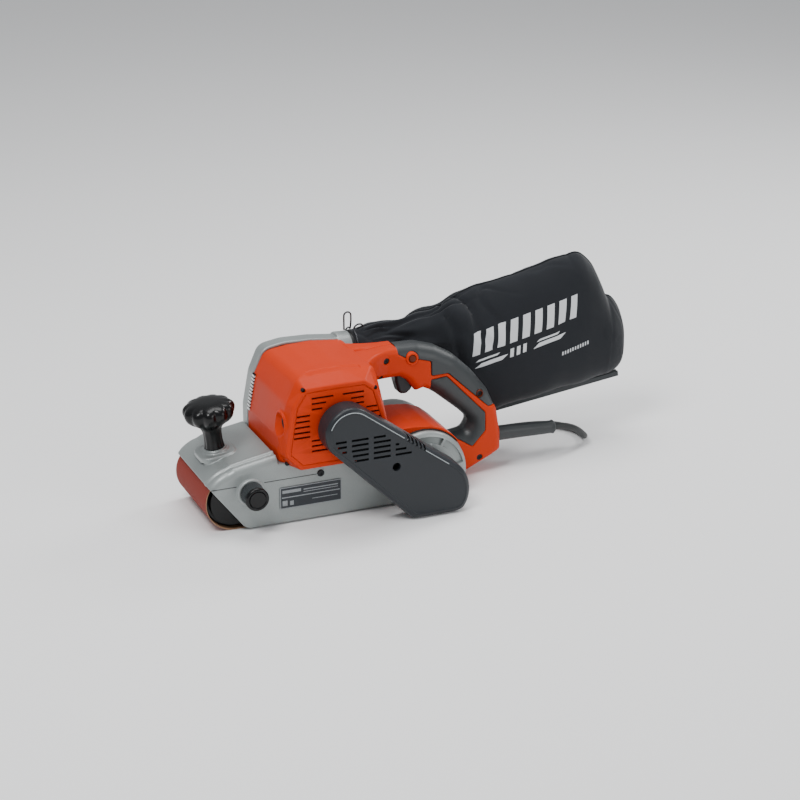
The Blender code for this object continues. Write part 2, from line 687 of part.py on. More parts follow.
def motor_housing():
    wall = 2.4 * MM
    sections = [
        housing_section("far", HOUSING_FAR),
        housing_section("main", -36 * MM),
        housing_section("main", -52.9 * MM),
        housing_section("step", -58.5 * MM),
        housing_section("near", HOUSING_NEAR + 2 * MM, -0.6 * MM),
        housing_section("near", HOUSING_NEAR, 1.0 * MM),
        housing_section("near", HOUSING_NEAR, 5.0 * MM),
        housing_section("near", HOUSING_NEAR + 3 * MM, 4.6 * MM),
        housing_section("step", -58.5 * MM, wall),
        housing_section("main", -52 * MM, wall),
        housing_section("far", HOUSING_FAR, wall),
    ]
    housing = loft("motor_housing", sections, "orange_plastic", closed=True)
    brush_z = ROTOR[1]
    cap_y = -45 * MM
    cut(
        housing,
        rod("cut_brush_front", (-70 * MM, cap_y, brush_z), (-45 * MM, cap_y, brush_z), 7.3 * MM),
        rod("cut_brush_rear", (45 * MM, cap_y, brush_z), (70 * MM, cap_y, brush_z), 7.3 * MM),
    )
    for name, x_out, x_in in (("front", -57.2, -49), ("rear", 60.2, 52)):
        cap_out = (x_out * MM, cap_y, brush_z)
        rod(f"brush_cap_{name}", cap_out, (x_in * MM, cap_y, brush_z), 7 * MM, "black_plastic")


def motor_end_cover():
    outer = [Vector((p.x, p.z)) for p in housing_section("near", 0, 5.4 * MM)]
    cover = plate("motor_end_cover", [outer, circle(*GEAR, 8.3 * MM)], HOUSING_NEAR + 0.8 * MM, -70.8 * MM, "orange_plastic")
    cut(cover, vent_slots("cut_housing_vents", HOUSING_VENTS, -80 * MM, -66 * MM))
    inner, inmost = ([Vector((p.x, p.z)) for p in housing_section("near", 0, d * MM)] for d in (8.4, 10.4))
    lip = plate("end_cover_rim", [inner, inmost], -72 * MM, -63.5 * MM)
    join(cover, lip)
    ring_y("gear_bearing_outer", GEAR, 5.3, 8, -73.6 * MM, -70.6 * MM, "steel")


def fan_housing():
    """The cast end on the far side, which holds the fan and the far bearing and blows dust up to the nozzle."""
    sections = [
        housing_section("fan", FAN_HOUSING_FAR - 3 * MM, 6 * MM),
        housing_section("fan", FAN_HOUSING_FAR - 6 * MM, 3.4 * MM),
        housing_section("fan", HOUSING_FAR + GAP, 3 * MM),
        housing_section("fan", HOUSING_FAR + GAP),
        housing_section("fan", FAN_HOUSING_FAR - 5 * MM),
        housing_section("fan", FAN_HOUSING_FAR - 1.5 * MM, 1.6 * MM),
        housing_section("fan", FAN_HOUSING_FAR, 5 * MM),
    ]
    housing = loft("fan_housing", sections, "cast_aluminium")
    volute = rod("fan_volute", at(ROTOR, 57.5 * MM), at(ROTOR, 64 * MM), 36 * MM, end_radius=33 * MM, segments=24)
    seat = rod("fan_bearing_seat", at(ROTOR, 45 * MM), at(ROTOR, 60 * MM), 14 * MM)
    spigot_r = 14 * MM
    duct = box("fan_duct", (50, 38.3, 131.5), (58.8, 59.6, 157.5))
    spigot = rod("fan_spigot", (58 * MM, BAG_Y, NOZZLE_Z), (66 * MM, BAG_Y, NOZZLE_Z), spigot_r)
    join(housing, volute, seat, duct, spigot)
    outlet = (36 * MM, BAG_Y, NOZZLE_Z)
    return cut(
        housing,
        rod("cut_fan_bearing", at(ROTOR, 40 * MM), at(ROTOR, 53.5 * MM), 11.3 * MM),
        rod("cut_outlet", outlet, (80 * MM, BAG_Y, NOZZLE_Z), 11.5 * MM),
    )


def dust_nozzle():
    profile = [(14.3, 0), (18.5, 0), (18.5, 3), (NOZZLE_R / MM, 4), (NOZZLE_R / MM, 30), (14.3, 30)]
    base = (59.6 * MM, BAG_Y, NOZZLE_Z)
    return turned("dust_nozzle", profile, base, (1, 0, 0), "black_plastic", 24, ring=True)


def rotor():
    shaft = rod("armature_shaft", at(ROTOR, -70 * MM), at(ROTOR, 53 * MM), 4 * MM, "steel", segments=16)
    root, tip = 3.9 * MM, 5.9 * MM
    phase = math.pi / PINION_TEETH
    teeth = toothed_outline(*ROTOR, PINION_TEETH, root, tip, 0.56, 0.22, phase)
    join(shaft, plate("pinion_teeth", [teeth], -69.5 * MM, -59.8 * MM))
    slots = toothed_outline(*ROTOR, 12, 15 * MM, 19 * MM, 0.66, 0.8, 0)
    plate("armature_core", [slots, circle(*ROTOR, 4.3 * MM, 12)], -28 * MM, 14 * MM, "copper", ROTOR)
    ring_y("commutator", ROTOR, 4.3, 11, -52 * MM, -38 * MM, "copper", 28)
    blades = toothed_outline(*ROTOR, 9, 13 * MM, 31 * MM, 0.5, 0.22, 0)
    fan = plate("cooling_fan", [blades, circle(*ROTOR, 4.3 * MM, 12)], 20 * MM, 33 * MM, "black_plastic", ROTOR)
    disc = plate("fan_disc", [circle(*ROTOR, 31.5 * MM, 20), circle(*ROTOR, 4.3 * MM, 12)], 18 * MM, 21 * MM)
    join(fan, disc)
    ring_y("motor_bearing_near", ROTOR, 4.3, 11, -59 * MM, -53 * MM, "steel")
    ring_y("motor_bearing_far", ROTOR, 4.3, 11, 46 * MM, 53 * MM, "steel")


def stator():
    body = [circle(*ROTOR, 28 * MM, 36), circle(*ROTOR, 20 * MM, 30)]
    plate("stator", body, -27 * MM, 13 * MM, "steel", ROTOR)


def gear_stage():
    corners = mm_points((-49, 75), (-49, 96), (-43, 134), (-30, 154), (40, 154), (50, 130), (53.5, 96), (51, 75))
    bracket = rounded(corners, [r * MM for r in (2, 15, 20, 12, 4, 15, 12, 2)], 3)
    holes = [circle(*ROTOR, 11.3 * MM), circle(*GEAR, 7.3 * MM, 20)]
    plate("gear_bracket", [bracket, *holes], -58.8 * MM, -53.2 * MM, "cast_aluminium")
    root, tip = (GEAR_TEETH / 2 - 1.3) * MODULE, (GEAR_TEETH / 2 + 0.85) * MODULE
    teeth = toothed_outline(*GEAR, GEAR_TEETH, root, tip, 0.56, 0.24, math.pi)
    hole = circle(*GEAR, 5.3 * MM, 20)
    plate("intermediate_gear", [teeth, hole], -69 * MM, -60.3 * MM, "steel", GEAR)
    rod("intermediate_shaft", at(GEAR, -97 * MM), at(GEAR, -53 * MM), 5 * MM, "steel")


def brushes():
    for name, x_low, x_high in (("front", -48.5, -26.6), ("rear", -3.4, 20)):
        box(f"brush_{name}", (x_low, -48.5, 105.8), (x_high, -41.5, 112.2), "carbon")


# ---------------------------------------------------------------- handle


def handle_outline(shrink=0.0):
    corners = mm_points(
        (53.5, 157), (84, 160.3), (118, 159), (140, 152.3), (162, 139.3), (183, 118.8), (201, 95.5), (211, 73),
        (215.6, 45), (216, 25), (204, 18.2), (175, 5.2), (159.6, 6.8), (159.6, 30), (155.6, 47.5), (161, 49),
        (175.5, 51), (182, 63), (169, 76), (141, 99.8), (132, 106), (124, 110), (115, 107.5), (105, 121.5),
        (96, 127), (62, 125.8), (58.8, 128.2),
    )  # fmt: skip
    radii = [1, 12, 16, 20, 25, 25, 20, 18, 12, 5, 6, 3, 2, 6, 1.5, 2.5, 8, 8, 10, 8, 4, 2, 2, 8, 4, 3, 1]
    return offset_rounded(corners, [r * MM for r in radii], shrink)


def grip_zone(side):
    """Where the soft outer or inner grip lies on the handle, seen from the side."""
    if side == "outer":
        points = ((92, 185), (94, 153), (103, 148), (118, 144.8), (131.5, 140.6), (132, 124), (151, 124.5), (199.7, 78.4),
                  (230, 74.5), (230, 185))
    else:
        points = ((131.6, 119), (149.5, 120.5), (195.4, 72), (195.7, 51.5), (180.5, 35), (166, 44), (150, 48), (150, 70),
                  (131.8, 90))
    return mm_points(*points)


def handle():
    core_inset, core_half = 2.4 * MM, 15 * MM
    proud = 0.7 * MM

    def grip_outline(shrink):
        return handle_outline(shrink - proud)

    def core_outline(shrink):
        return handle_outline(shrink + core_inset)

    pockets = []
    for name in ("outer", "inner"):
        zone = plate(f"zone_{name}", [grip_zone(name)], -30 * MM, 30 * MM)
        core = rounded_plate(f"core_{name}", core_outline, -core_half, core_half, 2 * MM)
        half = HANDLE_HALF + proud
        grip = rounded_plate(f"grip_{name}", grip_outline, -half, half, 4.5 * MM, "grip_rubber")
        cut(combine(grip, zone, "INTERSECT"), core)
        if name == "outer":
            cut(grip, rod("cut_grip_button", (109 * MM, -30 * MM, 147 * MM), (109 * MM, 0, 147 * MM), 5 * MM))
        pocket = plate(f"pocket_{name}", [inset(grip_zone(name), -GAP)], -30 * MM, 30 * MM)
        kept_half = core_half - GAP
        cut(pocket, rounded_plate(f"kept_{name}", lambda d: core_outline(d + GAP), -kept_half, kept_half, 2 * MM))
        pockets.append(pocket)
    for name, y_low, y_high in (("handle_near", -HANDLE_HALF, -0.15 * MM), ("handle_far", 0.15 * MM, HANDLE_HALF)):
        near = y_low < -MM
        half = rounded_plate(name, handle_outline, y_low, y_high, 4 * MM, "orange_plastic", near, not near)
        cut(
            half,
            *pockets,
            box(f"{name}_cavity", (84, -10, 121), (122, 10, 152.5)),
            box(f"{name}_trigger_slot", (84, -8.4, 100), (121, 8.4, 125)),
            rod(f"{name}_guard_bore", (190 * MM, 0, 38.4 * MM), (230 * MM, 0, 38.4 * MM), 9.6 * MM),
        )
        if near:
            cut(half, rod("cut_lock_hole", (109 * MM, -30 * MM, 147 * MM), (109 * MM, -5 * MM, 147 * MM), 4.4 * MM))


def trigger_and_switch():
    corners = mm_points((94, 128), (94.3, 119), (98, 106.5), (101, 104.2), (107, 103.8), (113, 108.5), (114.2, 121), (114.2, 134), (94, 134))
    outline = rounded(corners, [r * MM for r in (1, 4, 2, 2, 3, 3, 2, 2, 2)], 2)
    bevel(plate("trigger", [outline], -7.8 * MM, 7.8 * MM, "grey_plastic", (112 * MM, 131 * MM)), 1.2, 1)
    box("switch_body", (87, -8, 139.5), (103.5, 8, 151.5), "black_plastic")
    rod("lock_button", (109 * MM, -19.2 * MM, 147 * MM), (109 * MM, -6 * MM, 147 * MM), 4 * MM, "grey_plastic")


def handle_screws():
    for i, (x, z) in enumerate(((79.5, 148), (189.5, 20.3)), 1):
        centre = (x * MM, -17.4 * MM, z * MM)
        head = [(0, 0), (3.2, 0), (3.6, 0.8), (3.6, 2.2), (0, 2.2)]
        seat = rod(f"cut_screw_{i}", (x * MM, -30 * MM, z * MM), (x * MM, -15 * MM, z * MM), 4 * MM, segments=16)
        cut(bpy.data.objects["handle_near"], seat)
        turned(f"handle_screw_{i}", head, centre, (0, 1, 0), "steel", 16)


def rear_cover():
    """Covers the top of the rear fender between the motor housing and the foot of the handle."""
    top = mm_points((151.5, 56.5), (143, 66.5), (132, 75.5), (118, 81), (98, 83), (61.4, 83), (61.4, 69.9))
    under = arc(FENDER_X, FENDER_Z, FENDER_R + 0.5 * MM, 123.5, 33, 10)
    cover = plate("rear_cover", [top + under], -50 * MM, 20 * MM, "orange_plastic")
    return bevel(cover, 2.5, 2, 50)


# ---------------------------------------------------------------- dust bag


BAG_STATIONS = [  # x, top z, bottom z, half width, all in millimetres
    (64.5, 164, 125, 19.5), (74, 164, 125, 19.5), (92, 166.5, 124, 20), (122, 169, 121, 21), (150, 174, 103, 24),
    (180, 183, 82, 27), (206, 191, 63, 28.5), (229, 195, 50.8, 30), (247, 198.5, 52.3, 31), (291, 210, 58, 32),
    (326, 217, 62.6, 30), (348, 210.5, 65.4, 27), (366, 182, 68, 23), (383, 158, 71, 17), (394, 132, 87, 9),
]  # fmt: skip


def bag_section(x, top, bottom, half_width):
    """A flattened oval whose sides are a little fuller than an ellipse's."""
    steps, power = 20, 2.2
    made = []
    for i in range(steps):
        turn = 2 * math.pi * i / steps
        c, s = math.cos(turn), math.sin(turn)
        y = math.copysign(abs(c) ** (2 / power), c) * half_width * MM
        z = math.copysign(abs(s) ** (2 / power), s) * (top - bottom) / 2 * MM
        made.append(Vector((x * MM, BAG_Y + y, (top + bottom) / 2 * MM + z)))
    return made


def dust_bag():
    """Filled with dust, so solid behind the mouth that slips over the nozzle."""
    bag = loft("dust_bag", [bag_section(*station) for station in BAG_STATIONS], "bag_cloth")
    base = (50 * MM, BAG_Y, NOZZLE_Z)
    return cut(bag, rod("cut_bag_mouth", base, (112 * MM, BAG_Y, NOZZLE_Z), 17.4 * MM, segments=28))


def bag_clamp():
    """Spring wire round the bag's neck, with a long and a short finger loop."""
    y, wire_r, ring_r = BAG_Y, 0.9 * MM, 22.4 * MM
    x_low, x_high, neck = 57.2 * MM, 65.2 * MM, 66.4 * MM
    tall = [Vector((x_low, y, z * MM)) for z in (167, 174, 180.6)]
    middle, half = (x_low + x_high) / 2, (x_high - x_low) / 2
    for k in range(1, 6):
        turn = math.pi * (1 - k / 6)
        tall.append(Vector((middle + half * math.cos(turn), y, 180.6 * MM + half * math.sin(turn))))
    tall += [Vector((x_high, y, z * MM)) for z in (180.6, 174)]
    ring = []
    steps = 24
    for k in range(steps + 1):
        turn = math.radians(84 - 342 * k / steps)
        x = x_high + (neck - x_high) * k / steps
        ring.append(Vector((x, y + ring_r * math.cos(turn), NOZZLE_Z + ring_r * math.sin(turn))))
    end = ring[-1]
    short = [end + Vector(step) * MM for step in ((1.5, 0.4, 3), (5, 0.4, 5.4), (9.4, 0.4, 5), (11, 0.4, 2.4))]
    return wire("bag_clamp", tall + ring + short, wire_r, "steel", 1)


def bag_fastener():
    """A plastic channel that closes the bag's bottom edge and slides off along it."""
    start, end = Vector((218, 0, 41.8)) * MM, Vector((390, 0, 63.8)) * MM
    along = (end - start).normalized()
    across = Vector((-along.z, 0, along.x))
    y = BAG_Y
    profile = [(-3.5, 0.2), (3.5, 0.2), (3.5, 6.4), (-3.5, 6.4)]
    sections = [[p + across * z * MM + Vector((0, y + w * MM, 0)) for w, z in profile] for p in (start, end)]
    return bevel(loft("bag_fastener", sections, "black_plastic"), 0.8, 1)


# ---------------------------------------------------------------- cord

GUARD_START = Vector((209, 0, 38.6)) * MM
GUARD_END = Vector((287, 0, 35)) * MM
CORD_ROUTE = [  # from the guard down to the surface and back behind the tool, in millimetres
    (287.6, 0, 35), (299, 0.6, 33.4), (311, 2.5, 29), (322, 7, 21.5), (331, 13.5, 13.2), (338, 24, 6.6), (341, 38, 4.1),
    (339, 52, 4.1), (332, 65, 4.1), (320, 75.5, 4.1), (302, 82, 4.1), (280, 85, 4.1), (252, 86, 4.1), (222, 86, 4.1),
    (192, 87, 4.1), (162, 89, 4.1), (132, 94, 4.1), (104, 99, 4.1), (77.8, 101.4, 4.1),
]  # fmt: skip
PLUG_AT = Vector((103.2, 198.5, 9)) * MM


def cord_guard():
    length = (GUARD_END - GUARD_START).length / MM
    profile = [(4.1, 0), (8.6, 0), (8.6, 10), (8.4, 12), (7.3, length * 0.6), (6.9, length - 1), (6, length)]
    profile += [(4.1, length)]
    direction = GUARD_END - GUARD_START
    return turned("cord_guard", profile, GUARD_START, direction, "belt_rubber", 20, ring=True)


def cord():
    route = smooth_path([Vector(p) * MM for p in CORD_ROUTE], 2)
    wire("cord", route, CORD_R, "belt_rubber", 2)
    half_wide, high = COIL_TURNS_WIDE * CORD_R, COIL_TURNS_HIGH * 2 * CORD_R
    low, inner, outer = 0.3, (COIL_R - half_wide) / MM, (COIL_R + half_wide) / MM
    top = low + high / MM
    profile = [(inner, low), (outer, low), (outer, top), (inner, top)]
    turned("cord_coil", profile, (COIL_X, COIL_Y, 0), (0, 0, 1), "belt_rubber", 32, ring=True)


def plug():
    """A flat two-pin plug that lies on the surface beside the coil, pins towards the rear."""
    stations = [(-24, 4.8, 4.8), (-20, 5.2, 5.2), (-8, 9, 7), (4, 17, 8.5), (16, 18, 8.5), (18, 17, 8)]
    sections = []
    for x, half_y, half_z in stations:
        turns = [2 * math.pi * i / 20 for i in range(20)]
        sections.append([PLUG_AT + Vector((x, half_y * math.cos(t), half_z * math.sin(t))) * MM for t in turns])
    body = loft("plug", sections, "black_plastic")
    for name, y in (("plug_pin_low", -9.5), ("plug_pin_high", 9.5)):
        start = PLUG_AT + Vector((15, y, 0)) * MM
        join(body, rod(name, start, start + Vector((22, 0, 0)) * MM, 2.4 * MM, segments=12))
    return body


def main():
    main_frame()
    platen_and_pad()
    nameplate()
    sanding_belt()
    idler()
    roller_yoke()
    tension_carriage()
    tension_spring()
    tension_lever()
    tracking_knob()
    front_knob()
    drive_drum()
    belt_drive()
    belt_cover()
    motor_housing()
    motor_end_cover()
    fan_housing()
    dust_nozzle()
    rotor()
    stator()
    gear_stage()
    brushes()
    handle()
    trigger_and_switch()
    handle_screws()
    rear_cover()
    dust_bag()
    bag_clamp()
    bag_fastener()
    cord_guard()
    cord()
    plug()


clear_scene()
PARTS = collection("belt_sander")
CUTTERS = collection("cutters")
main()
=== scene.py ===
"""The looks of the handheld belt sander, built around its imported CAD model.

Same frame as the CAD: metres, +X to the rear, +Z up, near side (belt cover) at -Y, the belt stands on z = 0.
"""

import math

import bmesh
import bpy
import numpy as np
from mathutils import Matrix, Vector, noise


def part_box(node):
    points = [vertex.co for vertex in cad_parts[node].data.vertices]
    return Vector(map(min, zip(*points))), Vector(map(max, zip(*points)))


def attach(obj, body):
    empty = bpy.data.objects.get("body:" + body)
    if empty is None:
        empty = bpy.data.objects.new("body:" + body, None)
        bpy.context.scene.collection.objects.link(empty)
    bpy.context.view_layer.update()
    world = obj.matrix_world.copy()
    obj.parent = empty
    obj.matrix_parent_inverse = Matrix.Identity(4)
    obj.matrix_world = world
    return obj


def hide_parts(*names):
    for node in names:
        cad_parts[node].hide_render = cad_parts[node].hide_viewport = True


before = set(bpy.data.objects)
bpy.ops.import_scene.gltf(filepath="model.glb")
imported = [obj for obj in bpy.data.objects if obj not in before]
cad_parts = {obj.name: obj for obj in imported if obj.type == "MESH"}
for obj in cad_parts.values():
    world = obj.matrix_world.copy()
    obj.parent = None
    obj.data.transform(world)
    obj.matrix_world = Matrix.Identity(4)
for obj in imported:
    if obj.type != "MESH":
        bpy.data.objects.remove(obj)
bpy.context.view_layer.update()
MM = 0.001
ACROSS, REARWARD = (0, 1, 0), (1, 0, 0)


def middle(node):
    low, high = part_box(node)
    return (low + high) / 2


# Places taken from the CAD model
DRUM = middle("drive_drum")
IDLER = middle("idler_roller")
GEAR = middle("intermediate_gear")
ROTOR = middle("armature_core")
NOZZLE = middle("dust_nozzle")
KNOB = middle("tracking_knob")
AXIS_Z = DRUM.z
BAG_Y = NOZZLE.y
COVER_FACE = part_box("belt_cover")[0].y


# ---------------------------------------------------------------- numbers and outlines


def mm(*numbers):
    """A point or a step given in millimetres."""
    return Vector(numbers) * MM


def mm_points(*pairs):
    return [Vector((x * MM, z * MM)) for x, z in pairs]


def eased(t):
    t = max(0.0, min(1.0, t))
    return t * t * (3 - 2 * t)


def turns(count):
    """Angles evenly spread round a circle."""
    return [math.tau * k / count for k in range(count)]


def squared(value, power):
    """A sine or cosine pushed outwards, which turns a circle into a rounded square."""
    return math.copysign(abs(value) ** power, value)


def arc(x, z, radius, start, end, steps):
    turns = [math.radians(start + (end - start) * i / steps) for i in range(steps + 1)]
    return [Vector((x + radius * math.cos(t), z + radius * math.sin(t))) for t in turns]


def circle(x, z, radius, steps=40):
    return arc(x, z, radius, 0, 360, steps)[:-1]


def rounded(corners, radii, steps=6):
    """A closed outline with each corner replaced by an arc of its radius."""
    made = []
    count = len(corners)
    for i, corner in enumerate(corners):
        back = (corners[i - 1] - corner).normalized()
        on = (corners[(i + 1) % count] - corner).normalized()
        half = math.acos(max(-1.0, min(1.0, back.dot(on)))) / 2
        reach = radii[i] / math.tan(half)
        centre = corner + (back + on).normalized() * (radii[i] / math.sin(half))
        first, last = corner + back * reach - centre, corner + on * reach - centre
        sweep = math.atan2(first.x * last.y - first.y * last.x, first.dot(last))
        for k in range(steps + 1):
            c, s = math.cos(sweep * k / steps), math.sin(sweep * k / steps)
            made.append(centre + Vector((first.x * c - first.y * s, first.x * s + first.y * c)))
    return made


def signed_area(outline):
    return sum(a.x * b.y - a.y * b.x for a, b in zip(outline, outline[1:] + outline[:1])) / 2


def inset(outline, distance):
    """The outline moved inwards by a distance along its normals."""
    turn = 1 if signed_area(outline) > 0 else -1
    made = []
    for i, point in enumerate(outline):
        before = (point - outline[i - 1]).normalized()
        after = (outline[(i + 1) % len(outline)] - point).normalized()
        normal = (Vector((-(before.y + after.y), before.x + after.x)) * turn).normalized()
        lean = max(0.4, (Vector((-before.y, before.x)) * turn).dot(normal))
        made.append(point + normal * (distance / lean))
    return made


def offset_rounded(corners, radii, distance, steps=6):
    """The rounded outline moved inwards: outer corners get tighter and inner ones wider."""
    turn = 1 if signed_area(corners) > 0 else -1
    moved = []
    for i, radius in enumerate(radii):
        before = corners[i] - corners[i - 1]
        after = corners[(i + 1) % len(corners)] - corners[i]
        outer = (before.x * after.y - before.y * after.x) * turn > 0
        moved.append(max(0.3 * MM, radius - distance if outer else radius + distance))
    return rounded(inset(corners, distance), moved, steps)


def tangent_loop(x1, z1, r1, x2, z2, r2, steps=30):
    """The outline of a belt round two circles, anticlockwise."""
    a = math.degrees(math.atan2(z2 - z1, x2 - x1))
    b = math.degrees(math.acos((r1 - r2) / math.hypot(x2 - x1, z2 - z1)))
    return arc(x1, z1, r1, a + b, a - b + 360, steps) + arc(x2, z2, r2, a - b, a + b, steps)


def toothed_outline(x, z, teeth, root, tip, root_share, tip_share):
    """A round outline with teeth; their widths are shares of the pitch."""
    made = []
    for middle_turn in turns(teeth):
        for share, radius in ((-root_share, root), (-tip_share, tip), (tip_share, tip), (root_share, root)):
            turn = middle_turn + share * math.pi / teeth
            made.append(Vector((x + radius * math.cos(turn), z + radius * math.sin(turn))))
    return made


def at(axis, y):
    """The point across the tool where an axis, seen from the side, reaches y."""
    return (axis[0], y, axis[1])


def place(y, outline):
    return [Vector(at(p, y)) for p in outline]


def smooth_path(points, per_span):
    """A Catmull-Rom curve through points."""
    ends = [points[0] * 2 - points[1], *points, points[-1] * 2 - points[-2]]
    made = []
    for a, b, c, d in zip(ends, ends[1:], ends[2:], ends[3:]):
        for k in range(per_span):
            t = k / per_span
            bend = (a * 2 - b * 5 + c * 4 - d) * t**2 + (b * 3 - a - c * 3 + d) * t**3
            made.append((b * 2 + (c - a) * t + bend) / 2)
    return made + [points[-1]]


# ---------------------------------------------------------------- meshes


def new_object(name, mesh):
    obj = bpy.data.objects.new(name, mesh)
    bpy.context.scene.collection.objects.link(obj)
    return obj


def from_bmesh(name, work):
    bmesh.ops.recalc_face_normals(work, faces=work.faces)
    mesh = bpy.data.meshes.new(name)
    work.to_mesh(mesh)
    work.free()
    return new_object(name, mesh)


def bake(obj):
    """Replaces the object by a mesh of what it looks like now."""
    bpy.context.view_layer.update()
    seen = obj.evaluated_get(bpy.context.evaluated_depsgraph_get())
    mesh = bpy.data.meshes.new_from_object(seen)
    mesh.transform(obj.matrix_world)
    name = obj.name
    bpy.data.objects.remove(obj)
    return new_object(name, mesh)


def plate(name, outlines, y_low, y_high):
    """Outlines in the XZ plane, the first one solid and the others holes, extruded from y_low to y_high."""
    curve = bpy.data.curves.new(name, "CURVE")
    curve.dimensions, curve.fill_mode = "2D", "BOTH"
    curve.extrude = (y_high - y_low) / 2
    for outline in outlines:
        spline = curve.splines.new("POLY")
        spline.points.add(len(outline) - 1)
        for point, spot in zip(spline.points, outline):
            point.co = (spot.x, spot.y, 0, 1)
        spline.use_cyclic_u = True
    guide = new_object(name, curve)
    guide.rotation_euler = (math.pi / 2, 0, 0)
    guide.location = (0, (y_low + y_high) / 2, 0)
    made = bake(guide)
    work = bmesh.new()
    work.from_mesh(made.data)
    bmesh.ops.remove_doubles(work, verts=work.verts, dist=1e-6)
    bmesh.ops.recalc_face_normals(work, faces=work.faces)
    work.to_mesh(made.data)
    work.free()
    return made


def loft(name, sections, closed=False, weld=False):
    """A skin through sections of the same number of points.

    closed joins the last section to the first, and weld merges the points that lie on an axis.
    """
    work = bmesh.new()
    rings = [[work.verts.new(p) for p in section] for section in sections]
    count = len(rings[0])
    for a, b in zip(rings, rings[1:] + rings[:1] if closed else rings[1:]):
        for i in range(count):
            j = (i + 1) % count
            work.faces.new((a[i], a[j], b[j], b[i]))
    if not closed:
        work.faces.new(reversed(rings[0]))
        work.faces.new(rings[-1])
    if weld:
        bmesh.ops.remove_doubles(work, verts=work.verts, dist=1e-7)
    return from_bmesh(name, work)


def boxes(name, spans):
    """Many boxes in one mesh, each (low corner, high corner) in millimetres."""
    work = bmesh.new()
    for low, high in spans:
        low, high = Vector(low) * MM, Vector(high) * MM
        made = bmesh.ops.create_cube(work, size=1)["verts"]
        bmesh.ops.scale(work, vec=high - low, verts=made)
        bmesh.ops.translate(work, vec=(low + high) / 2, verts=made)
    return from_bmesh(name, work)


def box(name, low, high):
    return boxes(name, [(low, high)])


def rod(name, start, end, radius, end_radius=None, segments=40):
    """A rod or a cone between two points, with its radii in millimetres."""
    start, end = Vector(start), Vector(end)
    work = bmesh.new()
    bmesh.ops.create_cone(
        work, cap_ends=True, segments=segments, radius1=radius * MM,
        radius2=(radius if end_radius is None else end_radius) * MM, depth=(end - start).length,
    )  # fmt: skip
    turn = (end - start).to_track_quat("Z", "Y").to_matrix().to_4x4()
    bmesh.ops.transform(work, matrix=Matrix.Translation((start + end) / 2) @ turn, verts=work.verts)
    return from_bmesh(name, work)


def pin(name, axis, y_start, y_end, radius, end_radius=None, segments=40):
    """A rod across the tool, in millimetres apart from its axis."""
    return rod(name, at(axis, y_start * MM), at(axis, y_end * MM), radius, end_radius, segments)


def turned(name, profile, base, direction, steps=48, ring=False):
    """Turns (radius, height) points, in millimetres, about an axis that starts at base."""
    turn = Vector(direction).to_track_quat("Z", "Y").to_matrix()
    sections = [
        [Vector(base) + turn @ mm(r * math.cos(t), r * math.sin(t), h) for t in turns(steps)] for r, h in profile
    ]
    return loft(name, sections, closed=ring, weld=True)


def wire(name, points, radius, resolution=6):
    curve = bpy.data.curves.new(name, "CURVE")
    curve.dimensions = "3D"
    curve.bevel_depth, curve.bevel_resolution = radius, resolution
    curve.use_fill_caps = True
    spline = curve.splines.new("POLY")
    spline.points.add(len(points) - 1)
    for point, spot in zip(spline.points, points):
        point.co = (*spot, 1)
    spline.use_smooth = True
    return new_object(name, curve)


def boolean(obj, others, operation="DIFFERENCE"):
    """Cuts or joins at once, and removes the other objects."""
    for other in others:
        made = obj.modifiers.new("Boolean", "BOOLEAN")
        made.operation, made.object, made.solver = operation, other, "EXACT"
    done = bake(obj)
    for other in others:
        bpy.data.objects.remove(other)
    return done


def merged(name, parts):
    """Several shapes as one mesh."""
    work = bmesh.new()
    for part in parts:
        work.from_mesh(part.data)
        bpy.data.objects.remove(part)
    mesh = bpy.data.meshes.new(name)
    work.to_mesh(mesh)
    work.free()
    return new_object(name, mesh)


def cast(obj, voxel, passes, keep):
    """Rounds all edges and fillets all corners of overlapping closed shapes, as a casting or moulding has them."""
    made = obj.modifiers.new("Remesh", "REMESH")
    made.mode, made.voxel_size = "VOXEL", voxel * MM
    made = obj.modifiers.new("Smooth", "SMOOTH")
    made.factor, made.iterations = 0.5, passes
    if keep < 1:
        obj.modifiers.new("Decimate", "DECIMATE").ratio = keep
    return bake(obj)


def swell(obj, outline, half, radius):
    """Rounds a plate towards its rim: the thickness falls off in a quarter circle within a radius of the outline."""
    dense = []
    for a, b in zip(outline, outline[1:] + outline[:1]):
        steps = max(1, int((b - a).length / (0.6 * MM)))
        dense += [a.lerp(b, k / steps) for k in range(steps)]
    rim = np.array(dense)
    points = np.empty(len(obj.data.vertices) * 3, np.float32)
    obj.data.vertices.foreach_get("co", points)
    points = points.reshape(-1, 3).astype(float)
    for start in range(0, len(points), 4000):
        part = points[start : start + 4000]
        gap = np.sqrt(((part[:, None, [0, 2]] - rim[None]) ** 2).sum(2).min(1))
        left = 1 - np.clip(gap / radius, 0, 1)
        part[:, 1] *= (half - radius * (1 - np.sqrt(1 - left**2))) / half
    obj.data.vertices.foreach_set("co", points.astype(np.float32).ravel())
    obj.data.update()
    return obj


def rounded_edges(obj, width, segments):
    made = obj.modifiers.new("Bevel", "BEVEL")
    made.width, made.segments = width * MM, segments
    made.limit_method, made.angle_limit = "ANGLE", math.radians(32)
    obj.modifiers.new("Normals", "WEIGHTED_NORMAL").keep_sharp = True


def piece(obj, body, finish, replaces=(), sharp=38, edge=None, segments=3):
    """Gives a finished shape its material and the body that it rides on."""
    obj.data.materials.clear()
    obj.data.materials.append(FINISHES[finish])
    if obj.type == "MESH":
        obj.data.shade_smooth()
        obj.data.set_sharp_from_angle(angle=math.radians(sharp))
        if edge:
            rounded_edges(obj, edge, segments)
    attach(obj, body)
    if replaces:
        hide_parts(*replaces)
    return obj


# ---------------------------------------------------------------- materials


